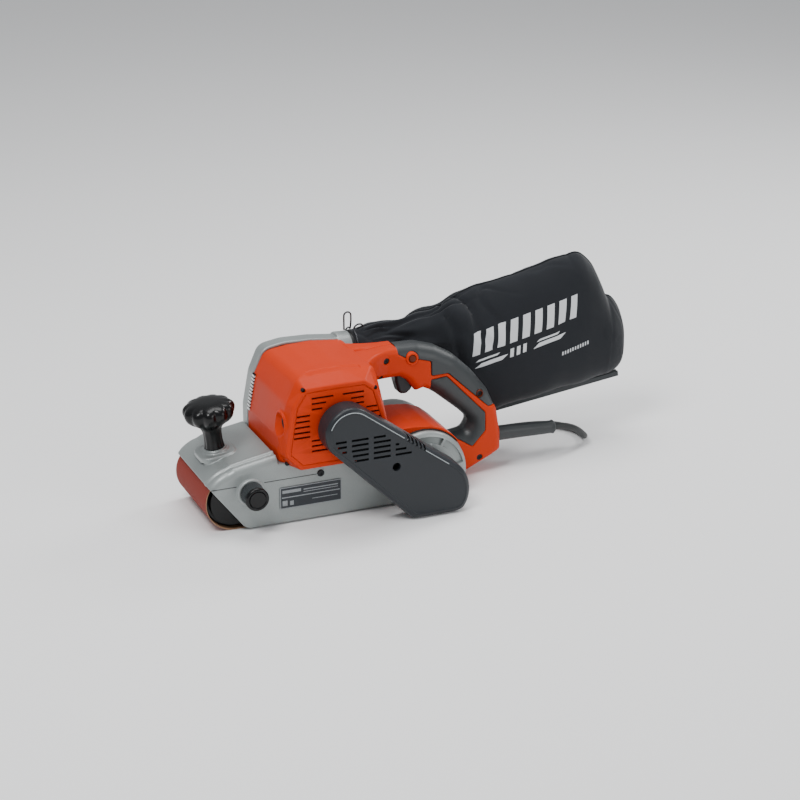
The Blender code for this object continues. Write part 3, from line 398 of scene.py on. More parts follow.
class Nodes:
    """Short calls for building one material's node tree."""

    def __init__(self, name):
        self.material = bpy.data.materials.new(name)
        self.material.use_nodes = True
        self.tree = self.material.node_tree
        self.shader = self.tree.nodes["Principled BSDF"]
        self.place = self.add("ShaderNodeTexCoord").outputs["Object"]

    def feed(self, socket, value):
        """Links another node's output to a socket, or sets the socket to a number or a colour."""
        if isinstance(value, bpy.types.NodeSocket):
            self.tree.links.new(value, socket)
        else:
            socket.default_value = (*value, 1) if isinstance(value, tuple) else value

    def add(self, kind, inputs=None, **settings):
        node = self.tree.nodes.new(kind)
        for key, value in settings.items():
            setattr(node, key, value)
        for key, value in (inputs or {}).items():
            self.feed(node.inputs[key], value)
        return node

    def coordinates(self):
        return self.add("ShaderNodeSeparateXYZ", {0: self.place}).outputs

    def noise(self, scale, detail=4, stretch=None):
        place = self.place
        if stretch:
            place = self.add("ShaderNodeMapping", {"Scale": Vector(stretch), "Vector": place}).outputs["Vector"]
        inputs = {"Scale": scale, "Detail": detail, "Roughness": 0.55, "Vector": place}
        return self.add("ShaderNodeTexNoise", inputs).outputs["Fac"]

    def voronoi(self, scale):
        """The distance to the nearest of many scattered points."""
        return self.add("ShaderNodeTexVoronoi", {"Scale": scale, "Vector": self.place}).outputs["Distance"]

    def ramp(self, value, start, end, top=1.0):
        """Rises from nought at start to top at end."""
        node = self.add("ShaderNodeValToRGB", {"Fac": value})
        first, last = node.color_ramp.elements
        first.position, first.color = start, (0, 0, 0, 1)
        last.position, last.color = end, (top, top, top, 1)
        return node.outputs["Color"]

    def edges(self, start, end, top):
        """Where a convex edge is rubbed; in the plastics the lighter colour laid there is also a painted highlight."""
        return self.ramp(self.add("ShaderNodeNewGeometry").outputs["Pointiness"], start, end, top)

    def mix(self, share, first, second):
        return self.add("ShaderNodeMix", {0: share, 6: first, 7: second}, data_type="RGBA").outputs[2]

    def span(self, value, low, high):
        """A share of the way from low to high."""
        return self.add("ShaderNodeMapRange", {"Value": value, "To Min": low, "To Max": high}).outputs["Result"]

    def maths(self, operation, first, *others):
        """A function of one value, or an operation carried from value to value."""
        for other in others or (0.5,):
            first = self.add("ShaderNodeMath", {0: first, 1: other}, operation=operation).outputs["Value"]
        return first

    def within(self, value, low, high):
        """One between two limits, and nought outside them."""
        return self.maths("MULTIPLY", self.maths("GREATER_THAN", value, low), self.maths("LESS_THAN", value, high))

    def bump(self, height, strength, distance):
        node = self.add("ShaderNodeBump", {"Strength": strength, "Distance": distance, "Height": height})
        self.feed(self.shader.inputs["Normal"], node.outputs["Normal"])

    def set(self, **values):
        for key, value in values.items():
            self.feed(self.shader.inputs[key.replace("_", " ")], value)
        return self.material


def shade(colour, factor):
    return tuple(min(1.0, c * factor) for c in colour)


def plastic(name, colour, rough, gloss=0.5, grain=1800, depth=0.00004):
    """Moulded plastic: fine spark grain, faint cloudiness, and convex edges painted lighter, partly as rubbed wear and
    partly as a painted highlight.
    """
    n = Nodes(name)
    cloud = n.noise(22, 5)
    base = n.mix(cloud, shade(colour, 0.9), shade(colour, 1.1))
    # convex edges in a lighter copy of the colour: rubbed wear and a painted highlight
    base = n.mix(n.edges(0.5, 0.62, 0.35), base, shade(colour, 1.5))
    scuffs = n.maths("MULTIPLY", n.noise(260, 6, (1, 1, 0.12)), cloud)
    n.bump(n.noise(grain, 3), 0.35, depth)
    return n.set(Base_Color=base, Roughness=n.span(scuffs, rough - 0.06, rough + 0.14), Specular_IOR_Level=gloss)


def painted_metal(name, colour, metallic=0.35):
    """Silver-grey enamel on a casting: metallic fleck, orange peel, slight chips of brighter metal on edges."""
    n = Nodes(name)
    fleck = n.ramp(n.noise(5200, 2), 0.45, 0.75)
    base = n.mix(n.noise(14, 4), shade(colour, 0.93), shade(colour, 1.05))
    base = n.mix(n.span(fleck, 0.0, 0.16), base, (0.92, 0.94, 0.95))
    base = n.mix(n.edges(0.52, 0.66, 0.5), base, (0.85, 0.87, 0.88))
    n.bump(n.mix(0.4, n.noise(900, 3), n.noise(160, 2)), 0.25, 0.0001)
    return n.set(Base_Color=base, Roughness=n.span(n.noise(70, 5), 0.34, 0.5), Metallic=metallic, Coat_Weight=0.15)


def raw_casting(name):
    n = Nodes(name)
    rough = n.noise(420, 6)
    base = n.mix(rough, (0.42, 0.44, 0.44), (0.62, 0.64, 0.64))
    n.bump(rough, 0.5, 0.00025)
    return n.set(Base_Color=base, Roughness=n.span(rough, 0.42, 0.6), Metallic=0.55)


def brushed(name, colour, rough=0.28, stretch=(30, 1200, 1200)):
    n = Nodes(name)
    lines = n.noise(1, 6, stretch)
    base = n.mix(lines, shade(colour, 0.82), shade(colour, 1.1))
    n.bump(lines, 0.25, 0.00003)
    return n.set(Base_Color=base, Roughness=n.span(lines, rough - 0.08, rough + 0.12), Metallic=1.0)


def abrasive_cloth(name):
    """Aluminium oxide grit in red-brown resin."""
    n = Nodes(name)
    tint = n.mix(n.noise(1400, 4), (0.15, 0.014, 0.008), (0.34, 0.045, 0.028))
    worn = n.mix(n.span(n.noise(18, 5), 0.0, 0.5), tint, (0.22, 0.03, 0.02))
    n.bump(n.voronoi(1500), 0.9, 0.0004)
    return n.set(Base_Color=worn, Roughness=0.82, Specular_IOR_Level=0.35)


PRINT_SLOPE = math.radians(13.2)
# Rows of plain printed marks: start x and z, length, height, pitch, share of ink, slant
PRINT_ROWS = [
    (0.196, 0.1235, 0.128, 0.0255, 0.0150, 0.6, 0.3),
    (0.200, 0.1085, 0.032, 0.0045, 0.1, 1.0, 1.8),
    (0.200, 0.1160, 0.026, 0.0022, 0.1, 1.0, 1.8),
    (0.240, 0.1175, 0.022, 0.0095, 0.0078, 0.55, 0.3),
    (0.268, 0.1235, 0.034, 0.0045, 0.1, 1.0, 1.8),
    (0.272, 0.1310, 0.026, 0.0022, 0.1, 1.0, 1.8),
    (0.304, 0.1105, 0.035, 0.0042, 0.0033, 0.5, 0.2),
]


def print_row(n, x, z, start_x, start_z, length, height, pitch, share, slant):
    """One where a row of slanted bars lies: u runs along the row and v across it."""
    dx, dz = n.maths("SUBTRACT", x, start_x), n.maths("SUBTRACT", z, start_z)
    c, s = math.cos(PRINT_SLOPE), math.sin(PRINT_SLOPE)
    u = n.maths("ADD", n.maths("MULTIPLY", dx, c), n.maths("MULTIPLY", dz, s))
    v = n.maths("SUBTRACT", n.maths("MULTIPLY", dz, c), n.maths("MULTIPLY", dx, s))
    u = n.maths("SUBTRACT", u, n.maths("MULTIPLY", v, slant))
    bars = n.maths("LESS_THAN", n.maths("FRACT", n.maths("DIVIDE", u, pitch)), share)
    return n.maths("MULTIPLY", bars, n.within(u, 0.0, length), n.within(v, 0.0, height))


def woven_cloth(name, colour):
    """Tight plain weave with a plain printed pattern of slanted bars and ticks on the near side."""
    n = Nodes(name)
    x, y, z = n.coordinates()
    warp, weft = (n.maths("SINE", n.maths("MULTIPLY", along, 5200.0)) for along in (x, z))
    fuzz = n.noise(900, 5)
    base = n.mix(fuzz, shade(colour, 0.7), shade(colour, 1.6))
    base = n.mix(n.noise(16, 4), base, shade(colour, 1.25))
    ink = n.maths("MAXIMUM", *[print_row(n, x, z, *row) for row in PRINT_ROWS])
    ink = n.maths("MULTIPLY", ink, n.maths("LESS_THAN", y, BAG_Y), n.span(n.noise(1500, 3), 0.8, 1.0))
    base = n.mix(ink, base, (0.72, 0.74, 0.76))
    n.bump(n.maths("ADD", n.maths("MULTIPLY", warp, weft), fuzz), 0.55, 0.00016)
    return n.set(Base_Color=base, Roughness=0.86, Sheen_Weight=0.2, Sheen_Roughness=0.4, Specular_IOR_Level=0.2)


def soft_rubber(name, colour, rough, stipple=1300):
    n = Nodes(name)
    dust = n.noise(40, 6)
    base = n.mix(dust, shade(colour, 0.85), shade(colour, 1.18))
    n.bump(n.voronoi(stipple), 0.3, 0.00012)
    return n.set(Base_Color=base, Roughness=n.span(dust, rough - 0.05, rough + 0.1), Sheen_Weight=0.03)


def cork(name):
    n = Nodes(name)
    grains = n.voronoi(600)
    n.bump(grains, 0.5, 0.0003)
    return n.set(Base_Color=n.mix(grains, (0.16, 0.09, 0.045), (0.46, 0.31, 0.18)), Roughness=0.9)


# Plain bars on the rating plate, as shares of its length and height
LABEL_MARKS = [
    (0.0, 1.0, 0.0, 0.04), (0.0, 1.0, 0.96, 1.0), (0.0, 0.015, 0.0, 1.0), (0.985, 1.0, 0.0, 1.0),
    (0.04, 0.34, 0.72, 0.86), (0.38, 0.94, 0.76, 0.81), (0.38, 0.94, 0.66, 0.69),
    (0.03, 0.97, 0.50, 0.545), (0.04, 0.12, 0.14, 0.38), (0.16, 0.22, 0.14, 0.34), (0.52, 0.93, 0.28, 0.31),
]  # fmt: skip


def plain_label(name):
    """A dark plate with plain pale bars where a rating plate has print, and no writing."""
    n = Nodes(name)
    x, _, z = n.coordinates()
    low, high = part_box("nameplate")
    size = high - low
    bars = []
    for x0, x1, z0, z1 in LABEL_MARKS:
        wide = n.within(x, low.x + size.x * x0, low.x + size.x * x1)
        tall = n.within(z, low.z + size.z * z0, low.z + size.z * z1)
        bars.append(n.maths("MULTIPLY", wide, tall))
    ink = n.maths("MULTIPLY", n.maths("MAXIMUM", *bars), n.span(n.noise(900, 4), 0.2, 0.9))
    base = n.mix(n.noise(500, 4), (0.014, 0.017, 0.022), (0.026, 0.031, 0.038))
    n.bump(n.noise(1500, 3), 0.15, 0.00004)
    return n.set(Base_Color=n.mix(ink, base, (0.42, 0.45, 0.47)), Roughness=0.36, Metallic=0.3)


FINISHES, SLOTS = {}, {}
for finish, slot, recipe, *amounts in (
    ("paint", "cast_aluminium", painted_metal, (0.255, 0.28, 0.275)),
    # a pale copy of the paint: painted highlight on the intake teeth
    ("pale", "cast_aluminium", painted_metal, (0.8, 0.82, 0.82), 0.0),
    ("casting", "cast_aluminium", raw_casting),
    ("orange", "orange_plastic", plastic, (0.54, 0.033, 0.0036), 0.42, 0.12),
    # a darker copy of the orange: painted shade on the recessed lock button and the screw ring
    ("button", "orange_plastic", plastic, (0.11, 0.018, 0.006), 0.45, 0.2),
    ("shade", "orange_plastic", plastic, (0.03, 0.008, 0.006), 0.8),
    ("cover", "grey_plastic", plastic, (0.0175, 0.0205, 0.0245), 0.38, 0.3),
    # a light grey line along the cover's top edge: a painted glint
    ("bead", "grey_plastic", plastic, (0.3, 0.33, 0.34), 0.3),
    # near-black sheets behind openings: painted shade
    ("screen", "black_plastic", plastic, (0.004, 0.004, 0.0045), 0.8, 0.1),
    ("gloss", "black_plastic", plastic, (0.0022, 0.0025, 0.0028), 0.26, 0.3, 700, 0.00002),
    ("matte", "black_plastic", plastic, (0.012, 0.013, 0.014), 0.5),
    ("rail", "black_plastic", plastic, (0.03, 0.034, 0.037), 0.42, 0.3),
    ("carbon", "carbon", plastic, (0.02, 0.02, 0.021), 0.6),
    ("backing", "abrasive", plastic, (0.24, 0.13, 0.07), 0.8, 0.5, 900, 0.0001),
    ("abrasive", "abrasive", abrasive_cloth),
    ("cloth", "bag_cloth", woven_cloth, (0.012, 0.0135, 0.0165)),
    ("grip", "grip_rubber", soft_rubber, (0.021, 0.025, 0.027), 0.4),
    ("rubber", "belt_rubber", soft_rubber, (0.009, 0.0105, 0.011), 0.5, 900),
    ("guard", "belt_rubber", soft_rubber, (0.02, 0.0235, 0.025), 0.42, 900),
    ("steel", "steel", brushed, (0.56, 0.57, 0.58)),
    ("spring", "steel", brushed, (0.06, 0.06, 0.065), 0.4),
    ("screw", "steel", brushed, (0.03, 0.03, 0.032), 0.4, (400, 400, 400)),
    ("iron", "iron", brushed, (0.2, 0.2, 0.21), 0.45, (900, 30, 900)),
    ("copper", "copper", brushed, (0.72, 0.33, 0.18), 0.35, (900, 60, 900)),
    ("cork", "cork", cork),
    ("label", "label", plain_label),
):
    FINISHES[finish], SLOTS[finish] = recipe(finish, *amounts), slot


# ---------------------------------------------------------------- camera, light and floor

LENS, CAMERA_AT = 108, (-0.8222, -2.2079, 1.0423)
AZIMUTH, ELEVATION = math.radians(-22.72), math.radians(21.60)
LIT_SPOT = Vector((0.06, 0, 0.08))
LIGHTS = [  # name, place, size, watts
    ("key", (-0.9, -0.7, 1.9), 0.8, 27), ("fill", (1.3, -1.5, 0.9), 1.0, 10), ("top", (0.2, 0.3, 1.8), 1.2, 20),
    ("rim", (1.5, 0.5, 1.1), 0.5, 9),
]  # fmt: skip


def aimed(name, data, spot, direction):
    """A camera or a lamp at a spot, looking in a direction."""
    obj = new_object(name, data)
    obj.location = spot
    obj.rotation_mode = "QUATERNION"
    obj.rotation_quaternion = direction.to_track_quat("-Z", "Y")
    return obj


def camera():
    data = bpy.data.cameras.new("camera")
    data.lens, data.sensor_width = LENS, 36
    level = math.cos(ELEVATION)
    back = Vector((math.sin(AZIMUTH) * level, -math.cos(AZIMUTH) * level, math.sin(ELEVATION)))
    bpy.context.scene.camera = aimed("camera", data, CAMERA_AT, -back)


def studio():
    world = bpy.data.worlds.new("studio")
    bpy.context.scene.world = world
    world.use_nodes = True
    world.node_tree.nodes["Background"].inputs["Color"].default_value = (0.95, 0.97, 1.0, 1)
    world.node_tree.nodes["Background"].inputs["Strength"].default_value = 0.44
    for name, spot, size, watts in LIGHTS:
        data = bpy.data.lights.new(name, "AREA")
        data.shape, data.size, data.energy = "DISK", size, watts
        aimed(name, data, spot, LIT_SPOT - Vector(spot))
    ground()


def ground():
    floor = bpy.data.materials.new("floor")
    floor.use_nodes = True
    shader = floor.node_tree.nodes["Principled BSDF"]
    shader.inputs["Base Color"].default_value = (0.93, 0.93, 0.93, 1)
    shader.inputs["Roughness"].default_value = 0.7
    work = bmesh.new()
    bmesh.ops.create_grid(work, x_segments=1, y_segments=1, size=6)
    plane = from_bmesh("floor", work)
    plane.location.z = -0.2 * MM
    plane.data.materials.append(floor)


# ---------------------------------------------------------------- cord, guard and plug

CORD_R = 3.75 * MM
CORD_ROUTE = [  # from the guard down to the surface and back behind the tool, in millimetres
    (287.6, 0, 35), (299, 0.6, 33.4), (311, 2.5, 29), (322, 7, 21.5), (331, 13.5, 13.2), (338, 24, 6.6), (341, 38, 4.1),
    (339, 52, 4.1), (332, 65, 4.1), (320, 75.5, 4.1), (302, 82, 4.1), (280, 85, 4.1), (252, 86, 4.1), (222, 86, 4.1),
    (192, 87, 4.1), (162, 89, 4.1), (132, 94, 4.1), (104, 99, 4.1), (77.8, 101.4, 4.1),
]  # fmt: skip
COIL = Vector((50, 150, 4.1))
COIL_R, COIL_PITCH = 41, 7.6
COIL_SWEEP = 1980
PLUG_AT = mm(103.2, 198.5, 9)
GUARD_START, GUARD_END = mm(209, 0, 38.6), mm(287, 0, 35)


def coil_points():
    """Three turns wound inwards on the surface, then two and a half outwards on top of them, clockwise."""
    made = []
    for swept in range(0, COIL_SWEEP + 1, 10):
        first_in, last_in, up, first_out, last_out = (eased((swept - d) / 50) for d in (300, 660, 965, 1270, 1630))
        radius = COIL_R + COIL_PITCH * (1 - first_in - last_in + first_out + last_out)
        angle = math.radians(-90 - swept)
        made.append((COIL + Vector((radius * math.cos(angle), radius * math.sin(angle), COIL_PITCH * up))) * MM)
    return made


def cord():
    route = smooth_path([mm(*p) for p in CORD_ROUTE], 3)
    coil = coil_points()
    tail = PLUG_AT + mm(-24, 0, 0)
    last = smooth_path([coil[-1], coil[-1].lerp(tail, 0.5) + mm(0, 0, 0.7), tail + mm(2, 0, 0)], 4)
    flex = wire("cord_flex", route + coil + last[1:], CORD_R)
    piece(flex, "tool", "rubber", ["cord", "cord_coil"])
    plug()  # fmt: skip


PLUG_STATIONS = [  # x from the middle of the plug, half width, half height
    (-24, 4.8, 4.8), (-20, 5, 5), (-14, 6.4, 5.8), (-8, 9, 7), (-2, 13.5, 8), (4, 17, 8.5), (7, 17.2, 7.7),
    (9, 17.6, 8.5), (12, 17.6, 7.7), (14, 17.8, 8.4), (16, 18, 8.4), (17.6, 17.6, 8.1), (18, 16.8, 7.4),
]  # fmt: skip


def plug():
    """A flat moulded plug with finger ribs, and its two pins."""
    sections = [
        [
            PLUG_AT + mm(x, squared(math.cos(t), 0.8) * half_y, squared(math.sin(t), 0.8) * half_z)
            for t in turns(40)
        ]
        for x, half_y, half_z in PLUG_STATIONS
    ]
    body = piece(loft("plug_body", sections), "tool", "matte", ["plug"], sharp=50)
    profile = [(0, 0), (2.4, 0), (2.4, 20.5), (1.9, 21.8), (0, 22)]
    pins = [turned("plug_pin", profile, PLUG_AT + mm(15, side, 0), REARWARD, 24) for side in (-9.5, 9.5)]
    return [body, piece(merged("plug_pins", pins), "tool", "steel", ["plug"])]


def cord_guard():
    """The tapered sleeve where the cord leaves the handle, with shallow lengthwise ribs and a flared end."""
    along = GUARD_END - GUARD_START
    turn = along.to_track_quat("Z", "Y")
    sections = []
    for k in range(40):
        t = k / 39
        taper = 8.5 - 1.4 * t - 0.25 * math.sin(math.pi * t)
        flare = 0.7 * eased((t - 0.94) / 0.04) - 1.6 * eased((t - 0.985) / 0.015)
        ribbed = 0.22 * eased(t * 8) * eased((0.93 - t) * 12)
        ring = []
        for angle in turns(72):
            reach = (taper + flare + ribbed * max(0.0, math.cos(9 * angle)) ** 6) * MM
            spot = Vector((reach * math.cos(angle), reach * math.sin(angle), along.length * t))
            ring.append(GUARD_START + turn @ spot)
        sections.append(ring)
    piece(loft("guard_sleeve", sections), "tool", "guard", ["cord_guard"])


def socket_screw(name, axis, y, radius, replaced=()):
    """A dark cap screw with a hexagon socket, its head at y millimetres and towards the near side."""
    profile = [(0, 0.9), (1.5, 0.9), (1.5, 0), (radius - 0.5, 0), (radius, 0.5), (radius, 2.4), (2, 3), (0, 3)]
    piece(turned(name, profile, at(axis, y * MM), ACROSS, 36), "tool", "screw", replaced, sharp=30)


# ---------------------------------------------------------------- frame casting

WALL_IN = -52 * MM
DRUM_AXIS, FRONT_AXIS, TRACKING_AXIS = (DRUM.x, AXIS_Z), (IDLER.x, AXIS_Z), (KNOB.x, KNOB.z)
TUNNEL_R, NOSE_R = 34.2 * MM, 36.8 * MM
FENDER_AXIS = (108 * MM, 28 * MM)
FENDER_R, FENDER_IN_R = 50 * MM, 46 * MM
DECK_REAR = (-58.6, 78.5)
LEVER_SHAFT = (-0.026, 0.043)
GRIP_BASE = mm(-107.2, 0, 69.5)
GRIP_UP = Matrix.Rotation(math.radians(-7), 3, "Y") @ Vector((0, 0, 1))


def along_grip(height):
    """A point on the front grip's axis, in millimetres above its base."""
    return GRIP_BASE + GRIP_UP * height * MM


def frame_outline(shrink):
    """The side view of the frame; the nose, the deck and the fender draw in by shrink, the rest stays."""
    nose = arc(*FRONT_AXIS, NOSE_R - shrink, 145, 103, 16)
    deck = [Vector((p.x, p.y - shrink)) for p in mm_points((-106, 70.3), (-84, 74.3), DECK_REAR)]
    roof = mm_points((DECK_REAR[0], 69.2), (80, 69.2))
    fender = arc(*FENDER_AXIS, FENDER_R - shrink, 123, -8, 40)
    skirt = mm_points((154, 12), (140, 2), (-91, 2), (-97, 5.5), (-129, 47))
    return nose + deck + roof + fender + skirt


FRAME_EDGE = [  # across the tool from the near wall: place, how far the top draws in
    (-58, 8.6), (-57.85, 7), (-57.2, 5.2), (-56, 3.4), (-54.4, 2.0), (-52.4, 1.1), (-50.4, 0.9), (-49.4, 1.2),
    (-48.9, 1.5), (-47.6, 1.7), (-46.7, 1.4), (-46.0, 0.4), (-44.8, -0.4), (-43.2, -0.6), (-41.4, 0.2), (-39.6, 0.9),
    (-36, 1.0), (47, 1.0), (50.4, 1.6), (52.6, 3.2), (53.7, 5), (54, 6.6),
]  # fmt: skip


def main_frame():
    """The casting over the belt, open on the far side, with the core that carries the platen and the tension lever."""
    shell = loft("frame_casting", [place(y * MM, frame_outline(shrink * MM)) for y, shrink in FRAME_EDGE])
    tunnel = tangent_loop(*FRONT_AXIS, TUNNEL_R, *DRUM_AXIS, TUNNEL_R)
    shell = boolean(shell, [
        plate("tunnel", [tunnel], WALL_IN, 70 * MM),
        plate("dust_channel", [circle(*FENDER_AXIS, FENDER_IN_R, 72)], WALL_IN, 70 * MM),
        box("rear_foot", (136, -52, -5), (170, 70, 12)),
        box("saddle", (-58.8, -70, 64), (80, -52.5, 90)),
    ])  # fmt: skip
    core = boolean(box("frame_core", (-49, -54, 7), (66, 46, 56)), [
        box("carriage_way", (-57, -13, 23.5), (-14, 13, 39.5)),
        box("lever_pocket", (-36, 35, 22.5), (-16, 48, 40.5)),
    ])  # fmt: skip
    parts = [
        shell, core, grip_pad(),
        pin("drum_boss", DRUM_AXIS, -77, -53, 21, segments=72),
        pin("knob_boss", TRACKING_AXIS, -60, -55, 14, segments=72),
        rod("grip_seat", GRIP_BASE, along_grip(3.4), 15.2, 14.4, 72),
        rod("grip_collar", GRIP_BASE, along_grip(5.2), 12.6, 12, 72),
    ]  # fmt: skip
    casting = cast(merged("frame_casting", parts), 0.8, 3, 0.5)
    casting = boolean(casting, [
        pin("bearing_bore", DRUM_AXIS, -80, -50, 16.3, segments=64),
        pin("tracking_bore", TRACKING_AXIS, -70, -50, 4.4),
        rod("grip_bore", along_grip(-9), along_grip(9), 4.3),
        rod("lever_bore", (*LEVER_SHAFT, 0.019), (*LEVER_SHAFT, 0.044), 2.8, segments=24),
        *fender_recess(),
    ])  # fmt: skip
    piece(casting, "tool", "paint", ["main_frame"], sharp=48)
    frame_trim()


def frame_trim():
    """The seam of the near wall and the screws beside it."""
    seam = boxes("frame_seam", [
        ((-131.5, -58.25, 50.75), (-104, -57.4, 51.35)), ((-74, -58.25, 50.75), (-16, -57.4, 51.35)),
    ])  # fmt: skip
    piece(seam, "tool", "matte")
    socket_screw("frame_bolt", mm(-11.6, 51.5), -59.4, 3.8)
    socket_screw("saddle_bolt", mm(-49.5, 69.5), -62.5, 2.3)


def grip_pad():
    """The stepped square pad on the deck that carries the front grip."""
    tilt = GRIP_UP.to_track_quat("Z", "Y").to_matrix()
    sections = [
        [
            GRIP_BASE + tilt @ mm(squared(math.cos(t), 0.55) * half, squared(math.sin(t), 0.55) * half, height)
            for t in turns(64)
        ]
        for height, half in ((-4, 20.4), (1.0, 20.0), (2.0, 18.6))
    ]
    return loft("grip_pad", sections)


def fender_recess():
    """A crescent pocket in the near face of the rear fender, in two parts with a rib between them."""
    pockets = []
    for start, end in ((104, 62), (59, 12)):
        crescent = arc(*FENDER_AXIS, 44.5 * MM, start, end, 20) + arc(*FENDER_AXIS, 36.5 * MM, end, start, 20)
        pockets.append(plate("fender_recess", [crescent], -62 * MM, -54.6 * MM))
    return pockets


def label():
    low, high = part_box("nameplate")
    corners = [Vector((low.x, low.z)), Vector((high.x, low.z)), Vector((high.x, high.z)), Vector((low.x, high.z))]
    made = plate("rating_plate", [rounded(corners, [1 * MM] * 4)], low.y, high.y)
    piece(made, "tool", "label", ["nameplate"], edge=0.15, segments=2)


# ---------------------------------------------------------------- belt and rollers

BELT_OUTER_R, BELT_INNER_R = 31.5 * MM, 30.6 * MM
YOKE_PIN = (-0.064, 0)


def sanding_belt():
    loops = [tangent_loop(*FRONT_AXIS, r, *DRUM_AXIS, r, 72) for r in (BELT_OUTER_R, BELT_INNER_R)]
    belt = piece(plate("abrasive_belt", loops, -50 * MM, 50 * MM), "tool", "abrasive", ["sanding_belt"])
    belt.data.materials.append(FINISHES["backing"])
    for face in belt.data.polygons:
        x, z = face.center.x, face.center.z
        outward = Vector((x - min(max(x, IDLER.x), DRUM.x), 0, z - AXIS_Z))
        face.material_index = 0 if face.normal.dot(outward) > 0 and abs(face.normal.y) < 0.5 else 1


def rollers():
    profile = [
        (6.3, 0), (8, 0), (8, -1.2), (12, -1.2), (12, 0), (21.4, 0), (23.4, 1.5), (29.2, 1.5), (30, 2.3), (30, 86.7),
        (29.2, 87.5), (23.4, 87.5), (21.4, 89), (6.3, 89),
    ]  # fmt: skip
    tyre = turned("front_roller_tyre", profile, at(FRONT_AXIS, -44.5 * MM), ACROSS, 96, ring=True)
    piece(tyre, "front_roller", "gloss", ["idler_roller"], edge=0.3)
    cheek = tangent_loop(*FRONT_AXIS, 26 * MM, -64 * MM, AXIS_Z, 9 * MM, 40)
    cheeks = [plate("cheek", [cheek], y_low * MM, y_high * MM) for y_low, y_high in ((-49.5, -45.3), (45.3, 49.5))]
    yoke = boolean(merged("roller_fork", cheeks), [pin("axle_bore", FRONT_AXIS, -60, 60, 6.3)])
    bar = boolean(box("fork_bar", (-68.5, -47, 24), (-59.5, 47, 39)), [
        rod("pin_bore", (*YOKE_PIN, 0.01), (*YOKE_PIN, 0.05), 3.3), box("fork_slot", (-70, -13, 27.8), (-58, 13, 35.2)),
    ])  # fmt: skip
    piece(merged("roller_fork", [yoke, bar]), "yoke", "gloss", ["roller_yoke"], edge=0.5)
    profile = [(8.3, 0), (29, 0), (30, 1), (30, 93), (29, 94), (8.3, 94)]
    tyre = turned("drum_tyre", profile, at(DRUM_AXIS, -47 * MM), ACROSS, 96, ring=True)
    piece(tyre, "drum", "rubber", ["drive_drum"])


# ---------------------------------------------------------------- front grip and tracking knob

GRIP_LOBES = 11
GRIP_RINGS = [  # radius, height above the boss, depth of the lobes
    (10.4, 0, 0), (10.8, 0.6, 0), (9.9, 6, 0), (9.9, 14, 0), (10.6, 20, 0.05), (12.8, 24.6, 0.2), (17.2, 28.4, 0.5),
    (21.4, 31.4, 0.9), (24.4, 35.2, 1.3), (25.8, 39, 1.6), (26.2, 42.4, 1.7), (25.4, 45.6, 1.6), (23.6, 48.1, 1.3),
    (21, 49.9, 0.8), (17, 51.2, 0.3), (13, 52, 0), (9, 52.4, 0), (3, 52.6, 0),
]  # fmt: skip


def front_knob():
    """A domed head with finger lobes on a waisted stem with flat facets."""
    turn = GRIP_UP.to_track_quat("Z", "Y").to_matrix()
    sections = []
    for radius, height, lobe in smooth_path([Vector(r) for r in GRIP_RINGS], 3):
        stem = max(0.0, 1 - height / 26)
        ring = []
        for t in turns(240):
            crest = math.sqrt(math.sin(GRIP_LOBES / 2 * t) ** 2 + 0.02)
            reach = radius + lobe * (2 * crest - 1.1) + 0.28 * stem * math.cos(12 * t)
            ring.append(along_grip(5.3) + turn @ mm(reach * math.cos(t), reach * math.sin(t), height))
        sections.append(ring)
    knob = boolean(loft("front_grip", sections), [rod("stud_bore", GRIP_BASE, along_grip(35), 4.3)])
    piece(knob, "tool", "gloss", ["front_knob"], sharp=60)


def tracking_knob():
    ribs = toothed_outline(*TRACKING_AXIS, 36, 11.7 * MM, 12.4 * MM, 0.9, 0.5)
    body = plate("tracking_grip", [ribs, circle(*TRACKING_AXIS, 4.3 * MM)], -76.5 * MM, -63.4 * MM)
    piece(body, "tracking", "rail", ["tracking_knob"], edge=0.2, segments=2)
    profile = [
        (4.3, 5.5), (12.2, 5.5), (12.5, 5.0), (12.5, 1.9), (11.7, 0.7), (10.2, 0.2), (9.6, 0.5), (9.2, 1.3), (8.8, 1.4),
        (8.4, 0.7), (4, 0.35), (0, 0.3), (0, 2), (4.3, 2),
    ]  # fmt: skip
    cap = turned("tracking_cap", profile, at(TRACKING_AXIS, -81.6 * MM), ACROSS, 72)
    piece(cap, "tracking", "gloss", sharp=50)
    profile = [(12.6, 0.4), (12.8, 0), (14.2, 0), (14.8, 0.5), (15, 1.4), (15, 4.2), (12.6, 4.2)]
    piece(turned("tracking_collar", profile, at(TRACKING_AXIS, -61.8 * MM), ACROSS, 72, ring=True), "tool", "paint")


# ---------------------------------------------------------------- belt drive cover

COVER_WALL, COVER_ROUND = 2.6 * MM, 4.6 * MM
COVER_BACK = -77.6 * MM
COVER_SCREW = mm(56.2, 64.2)
COVER_UPPER, UPPER_R = mm(7, 107.8), 28.2 * MM
COVER_LOWER, LOWER_R = mm(101.9, 25), 38.9 * MM
COVER_VENTS = [
    (-11, 1, 101), (6.5, 25, 101), (30.7, 44, 101),
    (-9, 1, 95.3), (6.5, 25, 95.3), (30.7, 49.5, 95.3),
    (-4, 1, 89.5), (6.5, 25, 89.5), (30.7, 49.5, 89.5), (55, 59, 89.5),
    (7.5, 25, 83.8), (30.7, 49.5, 83.8), (55, 67, 83.8),
    (9.5, 25, 78), (30.7, 49.5, 78), (55, 73, 78),
]  # fmt: skip


def cover_loop(shrink=0.0):
    """Round both pulleys, with a soft flat at the bottom; shrink draws it in."""
    lowest, soft = 0.6 * MM + shrink, 8 * MM
    loop = tangent_loop(*COVER_UPPER, UPPER_R - shrink, *COVER_LOWER, LOWER_R - shrink, 60)
    rises = [(p.y - lowest) / soft for p in loop]
    return [Vector((p.x, lowest + soft * (u + math.sqrt(u * u + 0.4)) / 2)) for p, u in zip(loop, rises)]


